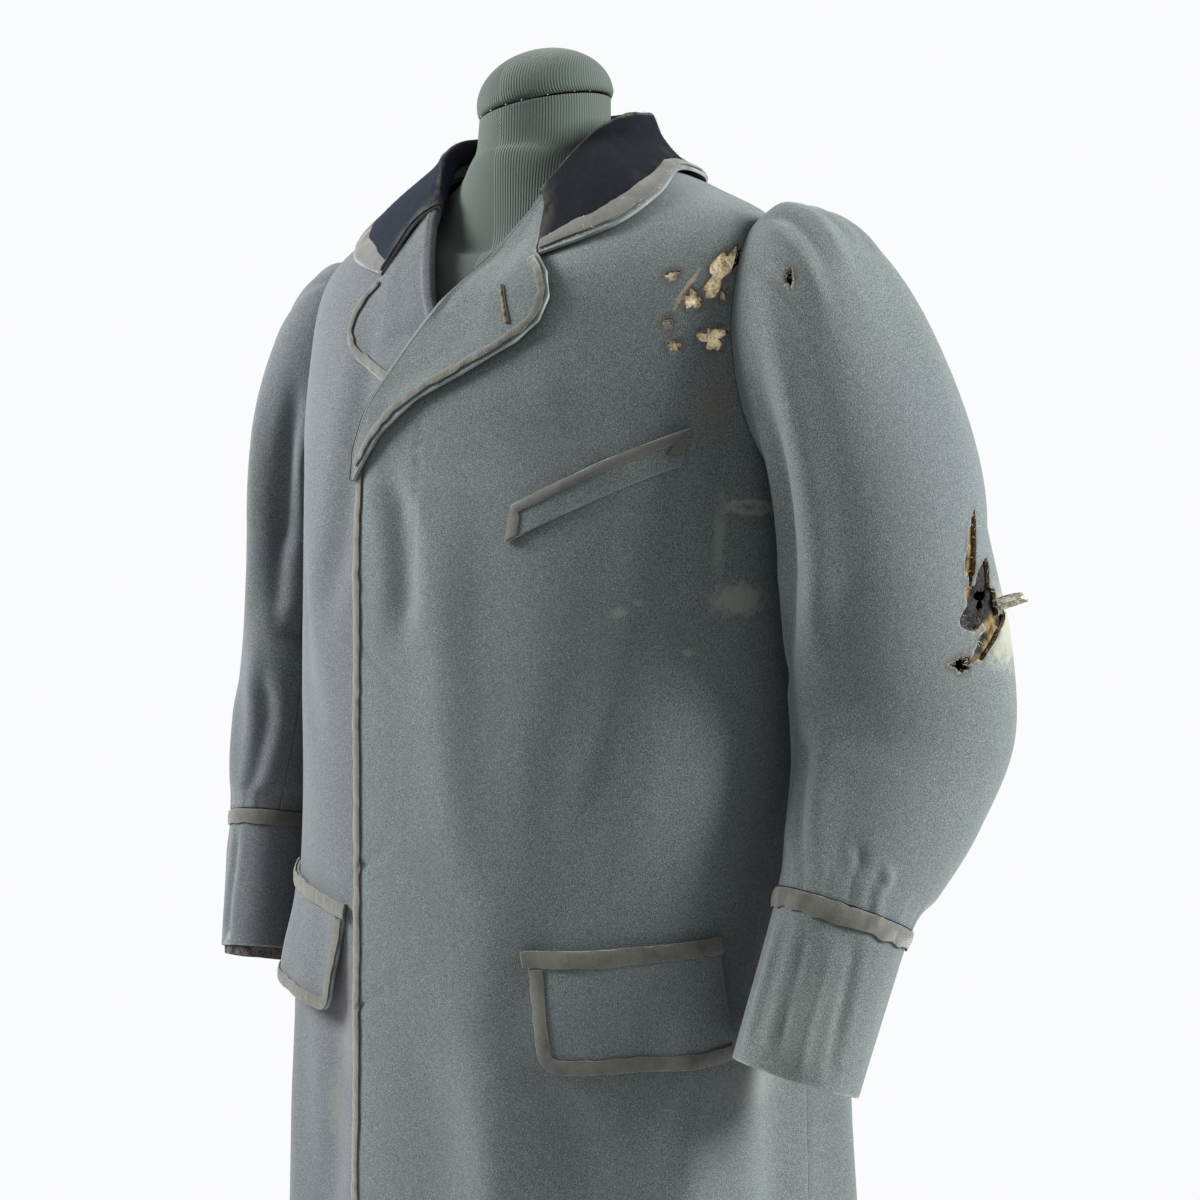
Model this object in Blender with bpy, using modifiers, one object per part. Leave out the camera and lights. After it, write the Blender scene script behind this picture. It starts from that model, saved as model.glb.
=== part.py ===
"""A wool overcoat worn by a limbless dress form on a pole and round base.

Metres, +Z up. The coat's front faces -Y and the wearer's left is +X. The
origin lies on the floor, under the middle of the stand.

Every cloth piece is a wall between two offsets from one smooth body surface,
which rings from a short table describe. Pieces on a front are placed by
their own elevation view: x counts from the centre line towards the piece's
own side, z from the floor.
"""

import math
from typing import NamedTuple

import bmesh
import bpy
import numpy as np

COAT = "overcoat"
CUTTERS = "cutters"

SEAM = 0.0003
WALL = 0.0030
LAY = 0.0006
BRAID = 0.0012
HEM = 0.42


class Ring(NamedTuple):
    """One ring of the body: its heights in front, at the side and behind, then its half sizes."""

    z_front: float
    z_side: float
    z_back: float
    half_width: float
    front: float
    back: float
    middle_y: float


BODY_RINGS = (
    Ring(HEM, HEM, HEM, 0.262, 0.206, 0.200, 0.030),
    Ring(0.600, 0.600, 0.600, 0.250, 0.196, 0.186, 0.030),
    Ring(0.780, 0.780, 0.780, 0.244, 0.189, 0.176, 0.028),
    Ring(0.950, 0.950, 0.950, 0.239, 0.183, 0.165, 0.024),
    Ring(1.100, 1.100, 1.100, 0.236, 0.177, 0.152, 0.020),
    Ring(1.205, 1.205, 1.205, 0.238, 0.170, 0.144, 0.017),
    Ring(1.285, 1.316, 1.328, 0.233, 0.152, 0.136, 0.011),
    Ring(1.342, 1.402, 1.400, 0.215, 0.126, 0.120, 0.003),
    Ring(1.388, 1.443, 1.448, 0.152, 0.103, 0.100, 0.003),
    Ring(1.425, 1.472, 1.482, 0.082, 0.075, 0.072, 0.000),
)
NECK_LEVEL = len(BODY_RINGS) - 1.0
SQUARENESS = 0.10


class Fold(NamedTuple):
    """A soft fold of the body cloth: where it is round the body and up it, and its depth outwards."""

    angle: float
    half_angle: float
    level: float
    half_level: float
    depth: float


BODY_FOLDS = (
    Fold(14, 10, 4.8, 1.0, -0.0025),
    Fold(32, 10, 4.4, 1.2, 0.0020),
    Fold(62, 9, 1.0, 1.8, 0.0040),
    Fold(-58, 9, 0.8, 1.8, 0.0045),
    Fold(80, 8, 0.0, 1.9, -0.0045),
    Fold(-82, 8, 0.0, 1.9, -0.0040),
    Fold(112, 10, 0.0, 2.2, 0.0050),
    Fold(-118, 10, 0.0, 2.0, 0.0055),
    Fold(150, 9, 0.0, 2.4, -0.0050),
    Fold(-156, 9, 0.2, 2.2, -0.0045),
    Fold(66, 6, 5.2, 0.7, -0.0040),
    Fold(-66, 6, 5.2, 0.7, -0.0040),
)

EDGE_X = -0.066
OVERLAP_LIFT = 0.0058
CHEST_LIFT = 0.0064
LIFT_FULL_X = 0.069
LIFT_END_X = 0.180

ROLL_Z = (1.100, 1.238, 1.262, 1.356, 1.422, 1.452, 1.475)
ROLL_X = (EDGE_X, EDGE_X, -0.050, 0.022, 0.058, 0.066, 0.068)
GORGE_TOP = (0.0655, 1.4490)
NOTCH = (0.0830, 1.3790)

ARMHOLE_BOTTOM = 5.0
ARMHOLE_TOP = 7.1
ARMHOLE_MIDDLE = (ARMHOLE_BOTTOM + ARMHOLE_TOP) / 2
ARMHOLE_HALF = (ARMHOLE_TOP - ARMHOLE_BOTTOM) / 2
ARMHOLE_FRONT = math.radians(22.0)
ARMHOLE_BACK = math.radians(25.0)
ARMHOLE_STEPS = 12
SKIRT_ROWS = 12
YOKE_ROWS = 5
FRONT_COLUMNS = {1: 15, -1: 12}
BACK_COLUMNS = 16

GREY = (0.075, 0.088, 0.090)
BRAID_GREY = (0.060, 0.062, 0.050)
VELVET = (0.006, 0.007, 0.022)
JERSEY = (0.065, 0.085, 0.072)
WADDING = (0.62, 0.50, 0.28)
LINING = (0.16, 0.11, 0.06)
BLACK = (0.02, 0.02, 0.02)


def smoothstep(low, high, value):
    """Return 0 below low, 1 above high and a smooth rise between."""
    t = np.clip((value - low) / (high - low), 0.0, 1.0)
    return t * t * (3.0 - 2.0 * t)


def spline(rows, position):
    """Return a smooth curve through evenly spaced table rows, read at each position."""
    table = np.asarray(rows, dtype=float)
    position = np.asarray(position, dtype=float)
    index = np.clip(np.floor(position).astype(int), 0, len(table) - 2)
    t = (position - index)[..., None]
    before = table[np.maximum(index - 1, 0)]
    start = table[index]
    end = table[index + 1]
    after = table[np.minimum(index + 2, len(table) - 1)]
    slope_0 = (end - before) * 0.5
    slope_1 = (after - start) * 0.5
    return (
        start * (2 * t**3 - 3 * t**2 + 1)
        + slope_0 * (t**3 - 2 * t**2 + t)
        + end * (3 * t**2 - 2 * t**3)
        + slope_1 * (t**3 - t**2)
    )


def fold_depth(theta, level):
    """Return how far the soft folds move the body's surface out at these angles and levels."""
    total = np.zeros(np.broadcast(theta, level).shape)
    for fold in BODY_FOLDS:
        turn = (theta - math.radians(fold.angle) + math.pi) % (2 * math.pi) - math.pi
        across = (turn / math.radians(fold.half_angle)) ** 2
        along = ((level - fold.level) / fold.half_level) ** 2
        total = total + fold.depth * np.exp(-across - along)
    return total


def bare_body(theta, level):
    """Return body points: theta is 0 in front and grows to the wearer's left, level is a ring number."""
    ring = spline(BODY_RINGS, level)
    z_front, z_side, z_back, half_width, front, back, middle_y = np.moveaxis(ring, -1, 0)
    side, ahead = np.sin(theta), np.cos(theta)
    facing = ahead > 0
    reach = np.where(facing, front, back) + fold_depth(theta, level)
    x = (half_width + fold_depth(theta, level)) * side * (1 + SQUARENESS * ahead**2)
    y = middle_y - reach * ahead * (1 + SQUARENESS * side**2)
    z = z_side + (np.where(facing, z_front, z_back) - z_side) * ahead**2
    return np.stack([x, y, z], axis=-1)


def unit(vectors):
    """Return the vectors at length one."""
    return vectors / np.linalg.norm(vectors, axis=-1, keepdims=True)


def body(theta, level, out=0.0):
    """Return points at a distance outside the body's surface."""
    theta, level = np.broadcast_arrays(np.asarray(theta, float), np.asarray(level, float))
    step = 0.002
    across = bare_body(theta + step, level) - bare_body(theta - step, level)
    up = bare_body(theta, level + step) - bare_body(theta, level - step)
    normal = unit(np.cross(across, up))
    return bare_body(theta, level) + normal * np.asarray(out, float)[..., None]


def angle_of(x, level):
    """Return the angle at which the front of a ring reaches x."""
    half_width = spline(BODY_RINGS, level)[..., 3]
    side = np.clip(x / half_width, -0.98, 0.98)
    for _ in range(8):
        side = np.clip(x / half_width / (1 + SQUARENESS * (1 - side**2)), -0.985, 0.985)
    return np.arcsin(side)


def level_of(x, z):
    """Return the ring level at which the front surface at x reaches the height z."""
    x, z = np.broadcast_arrays(np.asarray(x, float), np.asarray(z, float))
    low = np.zeros(x.shape)
    high = np.full(x.shape, NECK_LEVEL + 0.4)
    for _ in range(34):
        middle = (low + high) / 2
        above = bare_body(angle_of(x, middle), middle)[..., 2] > z
        high = np.where(above, middle, high)
        low = np.where(above, low, middle)
    return (low + high) / 2


def overlap_lift(x, level):
    """Return how far the left front rides above the right one that it covers."""
    across = 1 - smoothstep(LIFT_FULL_X, LIFT_END_X, x)
    chest = smoothstep(5.2, 5.9, level)
    neck = 1 - smoothstep(7.0, 8.0, level)
    return across * neck * (OVERLAP_LIFT + CHEST_LIFT * chest)


def front_at(side, x, level, out=0.0):
    """Return points on a front: side is 1 for the wearer's left, -1 for the right, x its own x."""
    lift = overlap_lift(x, level) if side > 0 else 0.0
    points = body(angle_of(x, level), level, out + lift)
    return points * np.array([side, 1.0, 1.0])


def front_point(side, x, z, out=0.0):
    """Return points on a front from its elevation view."""
    x, z = np.broadcast_arrays(np.asarray(x, float), np.asarray(z, float))
    return front_at(side, x, level_of(x, z), out)


def collection(name):
    """Return a new collection linked to the scene."""
    group = bpy.data.collections.new(name)
    bpy.context.scene.collection.children.link(group)
    return group


def material(name, colour, roughness=0.9):
    """Return a Principled material."""
    surface = bpy.data.materials.new(name)
    surface.use_nodes = True
    shader = surface.node_tree.nodes["Principled BSDF"]
    shader.inputs["Base Color"].default_value = (*colour, 1.0)
    shader.inputs["Roughness"].default_value = roughness
    shader.inputs["Metallic"].default_value = 0.0
    return surface


def new_object(name, mesh, colour, roughness=0.9):
    """Link a mesh as a named part with its own material, smooth but for its sharp edges."""
    mesh.materials.append(material(name, colour, roughness))
    mesh.shade_smooth()
    mesh.set_sharp_from_angle(angle=math.radians(40))
    part = bpy.data.objects.new(name, mesh)
    bpy.data.collections[COAT].objects.link(part)
    return part


def closed_mesh(name, vertices, faces):
    """Return a mesh whose faces all point outwards."""
    mesh = bpy.data.meshes.new(name)
    mesh.from_pydata([tuple(point) for point in vertices], [], faces)
    shape = bmesh.new()
    shape.from_mesh(mesh)
    bmesh.ops.recalc_face_normals(shape, faces=shape.faces)
    shape.to_mesh(mesh)
    shape.free()
    return mesh


def wall(name, colour, outer, inner, closed=False):
    """Make the wall between two like grids of points, rows by columns, open or closed round the columns."""
    rows, columns = outer.shape[:2]
    count = rows * columns
    vertices = np.concatenate([outer.reshape(-1, 3), inner.reshape(-1, 3)])
    spans = columns if closed else columns - 1

    def corner(row, column, layer):
        return layer * count + row * columns + column % columns

    faces = []
    for row in range(rows - 1):
        for column in range(spans):
            ring = [(row, column), (row, column + 1), (row + 1, column + 1), (row + 1, column)]
            for first, second, third in ((0, 1, 2), (0, 2, 3)):
                side = [ring[first], ring[second], ring[third]]
                faces.append([corner(r, c, 0) for r, c in side])
                faces.append([corner(r, c, 1) for r, c in reversed(side)])
    for row in (0, rows - 1):
        for column in range(spans):
            edge = [corner(row, column, 0), corner(row, column + 1, 0)]
            faces.append(edge + [corner(row, column + 1, 1), corner(row, column, 1)])
    if not closed:
        for column in (0, columns - 1):
            for row in range(rows - 1):
                edge = [corner(row, column, 0), corner(row + 1, column, 0)]
                faces.append(edge + [corner(row + 1, column, 1), corner(row, column, 1)])
    return new_object(name, closed_mesh(name, vertices, faces), colour)


def ringed_solid(name, colour, rings, roughness=0.9):
    """Make a closed solid through rings of points, flat at both ends."""
    rows, columns = rings.shape[:2]
    faces = [list(range(columns)), list(range((rows - 1) * columns, rows * columns))]
    for row in range(rows - 1):
        for column in range(columns):
            beside = (column + 1) % columns
            low = [row * columns + column, row * columns + beside]
            faces.append(low + [(row + 1) * columns + beside, (row + 1) * columns + column])
    return new_object(name, closed_mesh(name, rings.reshape(-1, 3), faces), colour, roughness)


def grid_normals(points, closed=False):
    """Return the normals of a grid of points, rows by columns."""
    if closed:
        across = np.roll(points, -1, axis=1) - np.roll(points, 1, axis=1)
    else:
        across = np.gradient(points, axis=1)
    up = np.gradient(points, axis=0)
    return unit(np.cross(across, up))


def panel_rows():
    """Return each row's level and how open the armhole is there, from the hem to the neck."""
    rows = [(level, 0.0) for level in np.linspace(0, ARMHOLE_BOTTOM, SKIRT_ROWS)[:-1]]
    for step in range(ARMHOLE_STEPS + 1):
        turn = math.pi * step / ARMHOLE_STEPS
        rows.append((ARMHOLE_MIDDLE - ARMHOLE_HALF * math.cos(turn), math.sin(turn)))
    rows += [(level, 0.0) for level in np.linspace(ARMHOLE_TOP, NECK_LEVEL, YOKE_ROWS)[1:]]
    return rows


def seam_angle(level):
    """Return half the seam's gap as an angle round the body."""
    return SEAM / 2 / float(spline(BODY_RINGS, np.array([level]))[0, 3])


def roll_x(z):
    """Return the x of the front's edge and roll line at a height."""
    return np.interp(z, ROLL_Z, ROLL_X)


def front_edge_x(level, x=0.0):
    """Return the x at which a row of the front meets its edge or roll line."""
    for _ in range(12):
        height = bare_body(angle_of(np.array([x]), np.array([level])), np.array([level]))[0, 2]
        x = float(roll_x(height))
    return x


def front_grid(side):
    """Return the angles and levels of a front's grid."""
    angles, levels = [], []
    for level, open_width in panel_rows():
        start = float(angle_of(np.array([front_edge_x(level)]), np.array([level]))[0])
        end = math.pi / 2 - ARMHOLE_FRONT * open_width - seam_angle(level)
        angles.append(np.linspace(start, end, FRONT_COLUMNS[side]))
        levels.append(np.full(FRONT_COLUMNS[side], level))
    return np.array(angles), np.array(levels)


def own_x(theta, level):
    """Return the x of body points."""
    return bare_body(theta, level)[..., 0]


def make_front(name, side):
    """Make a front: the cloth between its edge, the shoulder, the armhole and the side seam."""
    theta, level = front_grid(side)
    x = own_x(theta, level)
    lift = overlap_lift(x, level) if side > 0 else np.zeros(x.shape)
    flip = np.array([side, 1.0, 1.0])
    return wall(name, GREY, body(theta, level, lift) * flip, body(theta, level, lift - WALL) * flip)


def make_back():
    """Make the back in one piece between the side seams, armholes, shoulders and neck."""
    angles, levels = [], []
    for level, open_width in panel_rows():
        edge = math.pi / 2 + ARMHOLE_BACK * open_width + seam_angle(level)
        angles.append(np.linspace(edge, 2 * math.pi - edge, BACK_COLUMNS))
        levels.append(np.full(BACK_COLUMNS, level))
    theta, level = np.array(angles), np.array(levels)
    return wall("back", GREY, body(theta, level), body(theta, level, -WALL))


class SleeveRing(NamedTuple):
    """One ring of a sleeve: its middle, its half sizes across and along, and the turn of its long side."""

    z: float
    x: float
    y: float
    half_across: float
    half_along: float
    turn: float


LEFT_SLEEVE = (
    SleeveRing(1.165, 0.309, 0.012, 0.066, 0.084, 20),
    SleeveRing(1.090, 0.311, 0.036, 0.060, 0.087, 33),
    SleeveRing(1.030, 0.312, 0.043, 0.058, 0.088, 36),
    SleeveRing(0.980, 0.3095, 0.0235, 0.0545, 0.0760, 33.5),
    SleeveRing(0.935, 0.3060, -0.0020, 0.0495, 0.0635, 30),
    SleeveRing(0.898, 0.303, -0.024, 0.046, 0.052, 26),
    SleeveRing(0.784, 0.289, -0.064, 0.044, 0.049, 22),
)
RIGHT_SLEEVE = (
    SleeveRing(1.165, 0.300, 0.026, 0.058, 0.078, 12),
    SleeveRing(1.090, 0.306, 0.016, 0.055, 0.078, 20),
    SleeveRing(1.030, 0.308, 0.006, 0.054, 0.075, 24),
    SleeveRing(0.980, 0.308, -0.006, 0.052, 0.069, 25),
    SleeveRing(0.935, 0.306, -0.019, 0.048, 0.060, 23),
    SleeveRing(0.903, 0.304, -0.027, 0.045, 0.052, 21),
    SleeveRing(0.788, 0.289, -0.056, 0.043, 0.049, 19),
)
SLEEVE_END = 5.92
CUFF_END = 7.0
LEFT_HEAD = (0.94, 0.06)
RIGHT_HEAD = (0.90, -0.10)
HEAD_ROWS = 9
HEAD_CROWDING = 1.15
ARM_ROWS = 9


class SleeveFold(NamedTuple):
    """A soft fold of a sleeve, by its angle round the sleeve and its place along it."""

    angle: float
    half_angle: float
    place: float
    half_length: float
    depth: float


SLEEVE_FOLDS = (
    SleeveFold(82, 16, 0.75, 0.75, -0.0070),
    SleeveFold(112, 14, 0.95, 0.80, 0.0035),
    SleeveFold(40, 18, 1.00, 0.50, -0.0050),
    SleeveFold(205, 14, 0.45, 0.30, 0.0030),
    SleeveFold(300, 20, 1.60, 0.45, -0.0050),
    SleeveFold(110, 12, 3.00, 0.80, 0.0030),
    SleeveFold(140, 10, 5.60, 0.70, -0.0025),
)


def armhole_loop(phi, out=0.0):
    """Return points round the armhole: phi is 0 at the bottom and 90 degrees in front."""
    width = np.where(np.sin(phi) >= 0, ARMHOLE_FRONT, ARMHOLE_BACK)
    return body(math.pi / 2 - width * np.sin(phi), ARMHOLE_MIDDLE - ARMHOLE_HALF * np.cos(phi), out)


def sleeve_frames(table, place):
    """Return the middle, outward and forward vectors of a sleeve's rings at places along its table."""
    step = 0.02
    row = spline(table, place)
    ahead = spline(table, np.minimum(place + step, len(table) - 1))
    behind = spline(table, np.maximum(place - step, 0))
    columns = [1, 2, 0]
    down = unit(ahead[..., columns] - behind[..., columns])
    turn = np.radians(row[..., 5])
    forward = np.stack([-np.sin(turn), -np.cos(turn), np.zeros(turn.shape)], axis=-1)
    forward = unit(forward - down * np.sum(forward * down, axis=-1, keepdims=True))
    outward = unit(np.cross(forward, down))
    return row, row[..., columns], outward, forward


def arm_point(table, phi, place):
    """Return points on a sleeve below its head."""
    row, middle, outward, forward = sleeve_frames(table, place)
    across = -np.cos(phi) * row[..., 3]
    along = np.sin(phi) * row[..., 4]
    return middle + outward * across[..., None] + forward * along[..., None]


def bare_sleeve(table, phi, place):
    """Return sleeve points: place is 0 at the armhole, 1 at the first ring and grows down the arm."""
    phi, place = np.broadcast_arrays(np.asarray(phi, float), np.asarray(place, float))
    start = armhole_loop(phi)
    normal = unit(armhole_loop(phi, 0.01) - start)
    inward = unit(body(math.pi / 2, ARMHOLE_MIDDLE) - start)
    start = start + inward * SEAM
    ring = arm_point(table, phi, np.zeros(phi.shape))
    fullness, rise = LEFT_HEAD if table is LEFT_SLEEVE else RIGHT_HEAD
    reach = np.linalg.norm(ring - start, axis=-1, keepdims=True) * fullness
    top = ((1 - np.cos(phi)) / 2)[..., None]
    leave = unit(normal + np.array([0.0, 0.0, 1.0]) * (rise * top - 0.5 * (1 - top)))
    t = np.clip(place, 0.0, 1.0)[..., None]
    head = (
        start * (2 * t**3 - 3 * t**2 + 1)
        + leave * reach * (t**3 - 2 * t**2 + t)
        + ring * (3 * t**2 - 2 * t**3)
        + np.array([0.0, 0.0, -1.0]) * reach * (t**3 - t**2)
    )
    arm = arm_point(table, phi, np.maximum(place - 1.0, 0.0))
    return np.where(place[..., None] < 1.0, head, arm)


def sleeve_fold(phi, place):
    """Return how far the soft folds move the sleeve out."""
    total = np.zeros(np.broadcast(phi, place).shape)
    for fold in SLEEVE_FOLDS:
        turn = (phi - math.radians(fold.angle) + math.pi) % (2 * math.pi) - math.pi
        across = (turn / math.radians(fold.half_angle)) ** 2
        along = ((place - fold.place) / fold.half_length) ** 2
        total = total + fold.depth * np.exp(-across - along)
    return total * smoothstep(0.0, 0.3, place)


def sleeve(side, phi, place, out=0.0):
    """Return points at a distance outside a sleeve."""
    table = LEFT_SLEEVE if side > 0 else RIGHT_SLEEVE
    phi, place = np.broadcast_arrays(np.asarray(phi, float), np.asarray(place, float))
    step = 0.004
    across = bare_sleeve(table, phi + step, place) - bare_sleeve(table, phi - step, place)
    low = np.maximum(place - step, 0.0)
    high = np.minimum(place + step, CUFF_END)
    along = bare_sleeve(table, phi, high) - bare_sleeve(table, phi, low)
    normal = unit(np.cross(along, across))
    move = np.asarray(out, float) + sleeve_fold(phi, place)
    points = bare_sleeve(table, phi, place) + normal * move[..., None]
    return points * np.array([side, 1.0, 1.0])


def loop_angles(first, last):
    """Return sleeve angles at the armhole's own steps, with half a seam's gap off each end."""
    count = last - first
    angles = np.array([math.pi * (first + k) / ARMHOLE_STEPS for k in range(count + 1)])
    gap = SEAM / 2 / 0.05
    angles[0] += gap
    angles[-1] -= gap
    return angles


TOP_SLEEVE_FIRST = 4
TOP_SLEEVE_LAST = 19


def sleeve_places():
    """Return the places of a sleeve's rows, close together at its head and above the cuff."""
    head = np.linspace(0.0, 1.0, HEAD_ROWS)[:-1] ** HEAD_CROWDING
    arm = np.linspace(1.0, SLEEVE_END - 0.40, ARM_ROWS)
    return np.concatenate([head, arm, [SLEEVE_END - 0.2, SLEEVE_END]])


def make_sleeve(name, side, first, last):
    """Make one half of a sleeve, from the armhole down to the cuff."""
    phi, place = np.meshgrid(loop_angles(first, last), sleeve_places())
    outer = sleeve(side, phi, place)
    return wall(name, GREY, outer, sleeve(side, phi, place, -WALL))


class CuffRow(NamedTuple):
    """A row of the cuff: its place along the sleeve and how far the braid raises it."""

    place: float
    raised: float


CUFF_ROWS = (
    CuffRow(5.930, 0.0018),
    CuffRow(6.000, 0.0021),
    CuffRow(6.080, 0.0018),
    CuffRow(6.092, 0.0),
    CuffRow(6.500, 0.0),
    CuffRow(CUFF_END, 0.0),
)


def full_turn():
    """Return the angles all round a sleeve, at the armhole's own steps."""
    return np.array([math.pi * k / ARMHOLE_STEPS for k in range(2 * ARMHOLE_STEPS)])


def make_cuff(name, side):
    """Make a cuff with the braid that is sewn round its upper edge."""
    phi, place = np.meshgrid(full_turn(), [row.place for row in CUFF_ROWS])
    raised = np.array([row.raised for row in CUFF_ROWS])[:, None]
    return wall(name, GREY, sleeve(side, phi, place, raised), sleeve(side, phi, place, -WALL), closed=True)


class LapelRow(NamedTuple):
    """The lapel's outer edge: a height and how far out it reaches there."""

    z: float
    x: float


LAPEL_EDGE = (
    LapelRow(1.222, -0.0595),
    LapelRow(1.250, -0.0310),
    LapelRow(1.274, 0.0060),
    LapelRow(1.292, 0.0480),
    LapelRow(1.312, 0.0880),
    LapelRow(1.327, 0.1040),
    LapelRow(1.345, 0.1080),
    LapelRow(1.363, 0.1010),
    LapelRow(1.377, 0.0870),
)


class RollPoint(NamedTuple):
    """A point of the rolled edge's section: distance past the roll line, and heights of both faces."""

    past: float
    outer: float
    inner_past: float
    inner: float


ROLL_SECTION = (
    RollPoint(-0.0042, -0.0036, -0.0012, -0.0036),
    RollPoint(-0.0058, 0.0004, -0.0028, 0.0004),
    RollPoint(-0.0050, 0.0040, -0.0022, 0.0018),
    RollPoint(-0.0005, 0.0062, 0.0006, 0.0032),
)
LAPEL_ROWS = 12
LAPEL_COLUMNS = 6
LAPEL_LOW = {1: 0.0013, -1: 0.0008}
LAPEL_BRAID_LAY = 0.0007
LAPEL_BRAID_WIDTH = 0.006
LAPEL_SPRING = 0.0018
LAPEL_SPRING_WIDTH = 0.020
ROLL_SLANT = 1.30


LAPEL_BOTTOM = {1: 1.240, -1: 1.268}


def lapel_heights(side):
    """Return the heights of a lapel's rows; the right one starts where the left front hides it."""
    return np.linspace(LAPEL_BOTTOM[side], GORGE_TOP[1] - 0.002, LAPEL_ROWS)


def lapel_reach(z):
    """Return the x of the lapel's outer edge or gorge at a height."""
    heights = [row.z for row in LAPEL_EDGE] + [NOTCH[1], GORGE_TOP[1]]
    reaches = [row.x for row in LAPEL_EDGE] + [NOTCH[0] - SEAM, GORGE_TOP[0] - SEAM]
    return np.interp(z, heights, reaches)


def lapel_point(side, x, z, out):
    """Return points above the front at an offset from the lapel's underside."""
    past = np.maximum(x - roll_x(z), 0.0)
    spring = LAPEL_SPRING * np.exp(-past / LAPEL_SPRING_WIDTH)
    return front_point(side, x, z, LAPEL_LOW[side] + spring + out)


def make_lapel(name, side):
    """Make a lapel: the wall that wraps round the roll line and lies on the front."""
    outer, inner = [], []
    for z in lapel_heights(side):
        roll = float(roll_x(z))
        reach = max(float(lapel_reach(z)), roll + 0.006)
        outer_row = [front_point(side, roll + p.past * ROLL_SLANT, z, p.outer) for p in ROLL_SECTION]
        inner_row = [front_point(side, roll + p.inner_past * ROLL_SLANT, z, p.inner) for p in ROLL_SECTION]
        for x in np.linspace(roll, reach, LAPEL_COLUMNS)[1:]:
            outer_row.append(lapel_point(side, x, z, WALL))
            inner_row.append(lapel_point(side, x, z, 0.0))
        outer.append(outer_row)
        inner.append(inner_row)
    return wall(name, GREY, np.array(outer), np.array(inner))


def ribbon(name, colour, place, path, inward, width, low=LAY, thick=BRAID):
    """Make a flat braid: path and inward are plan points and directions, place turns them into space."""
    near = path + inward * 0.0006
    middle = path + inward * width * 0.5
    far = path + inward * width
    rows = np.stack([near, middle, far])
    outer = place(rows[..., 0], rows[..., 1], low + thick)
    inner = place(rows[..., 0], rows[..., 1], low)
    return wall(name, colour, outer, inner)


def inward_directions(path, turn):
    """Return unit vectors square to a plan path, on the side that turn (1 or -1) gives."""
    along = unit(np.gradient(path, axis=0))
    return np.stack([-along[:, 1], along[:, 0]], axis=-1) * turn


FRONT_BRAID_WIDTH = 0.0075
FRONT_BRAID_ROWS = 26
FRONT_BRAID_ENDS = (HEM + 0.004, LAPEL_EDGE[0].z + 0.012)


def make_front_braid():
    """Make the braid down the left front's edge."""
    z = np.linspace(*FRONT_BRAID_ENDS, FRONT_BRAID_ROWS)
    path = np.stack([roll_x(z), z], axis=-1)
    inward = np.tile([1.0, 0.0], (len(z), 1))
    return ribbon("left_front_braid", BRAID_GREY, lambda x, h, out: front_point(1, x, h, out),
                  path, inward, FRONT_BRAID_WIDTH)


def make_lapel_braid(name, side, start):
    """Make the braid along a lapel's outer edge, up to the notch."""
    rows = [row for row in LAPEL_EDGE if row.z >= start]
    z = np.array([row.z for row in rows])
    x = np.array([row.x for row in rows]) - 0.0008
    path = np.stack([x, z], axis=-1)
    inward = inward_directions(path, 1)
    return ribbon(name, BRAID_GREY, lambda a, b, out: lapel_point(side, a, b, WALL + out),
                  path, inward, LAPEL_BRAID_WIDTH, low=LAPEL_BRAID_LAY)


class CollarRow(NamedTuple):
    """A collar section: the angles and levels of its outer edge and fold, and the fold's height."""

    edge_angle: float
    edge_level: float
    fold_angle: float
    fold_rise: float


COLLAR_ROWS = (
    CollarRow(31.0, 7.58, 52, 0.012),
    CollarRow(45, 7.56, 58, 0.016),
    CollarRow(64, 7.80, 70, 0.022),
    CollarRow(86, 8.20, 88, 0.029),
    CollarRow(116, 8.22, 116, 0.034),
    CollarRow(148, 8.10, 148, 0.037),
    CollarRow(180, 8.05, 180, 0.038),
)
COLLAR_WALL = 0.0025
COLLAR_STEPS = 21
COLLAR_LAYERS = 9
COLLAR_EDGE_OUT = 0.0056
COLLAR_SWELL = 0.0035
COLLAR_FALL_OUT = 0.0120
COLLAR_FOLD_OUT = 0.0040
COLLAR_STAND_IN = 0.0034
COLLAR_STAND_DROP = 0.0065
COLLAR_FOOT_IN = 0.0028
COLLAR_FOOT_UP = 0.0008
COLLAR_BRAID_SPAN = (0.08, 0.90)
VELVET_THICK = 0.0014


def collar_grid():
    """Return the collar's visible face: columns from its left front end round to the right, rows from
    its outer edge over the fold and down to the neck seam."""
    columns = []
    for place in np.linspace(-1.0, 1.0, COLLAR_STEPS):
        last = len(COLLAR_ROWS) - 1
        row = spline(COLLAR_ROWS, np.array((1 - abs(place)) * last))
        edge_angle, edge_level, fold_angle, rise = (float(value) for value in row)
        edge = math.radians(edge_angle)
        fold = math.radians(fold_angle)
        middle = (edge_level + NECK_LEVEL - 0.15) / 2
        up = np.array([0.0, 0.0, 1.0])
        lift = float(overlap_lift(own_x(np.array(edge), np.array(edge_level)), edge_level)) * (place < 0)
        neck = body(fold, NECK_LEVEL)
        away = unit(neck * np.array([1.0, 1.0, 0.0]))
        controls = [
            body(edge, edge_level, COLLAR_EDGE_OUT + lift),
            body((edge + fold) / 2, middle, COLLAR_EDGE_OUT + COLLAR_SWELL + lift / 2),
            neck + away * COLLAR_FALL_OUT + up * rise / 2,
            neck + away * COLLAR_FOLD_OUT + up * rise,
            neck - away * COLLAR_STAND_IN + up * (rise - COLLAR_STAND_DROP),
            neck - away * COLLAR_FOOT_IN + up * COLLAR_FOOT_UP,
        ]
        layers = np.linspace(0, len(controls) - 1, COLLAR_LAYERS)
        section = spline(np.array(controls).reshape(-1, 3), layers)
        if place > 0:
            section = section * np.array([-1.0, 1.0, 1.0])
        columns.append(section)
    return np.stack(columns, axis=1)


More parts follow.
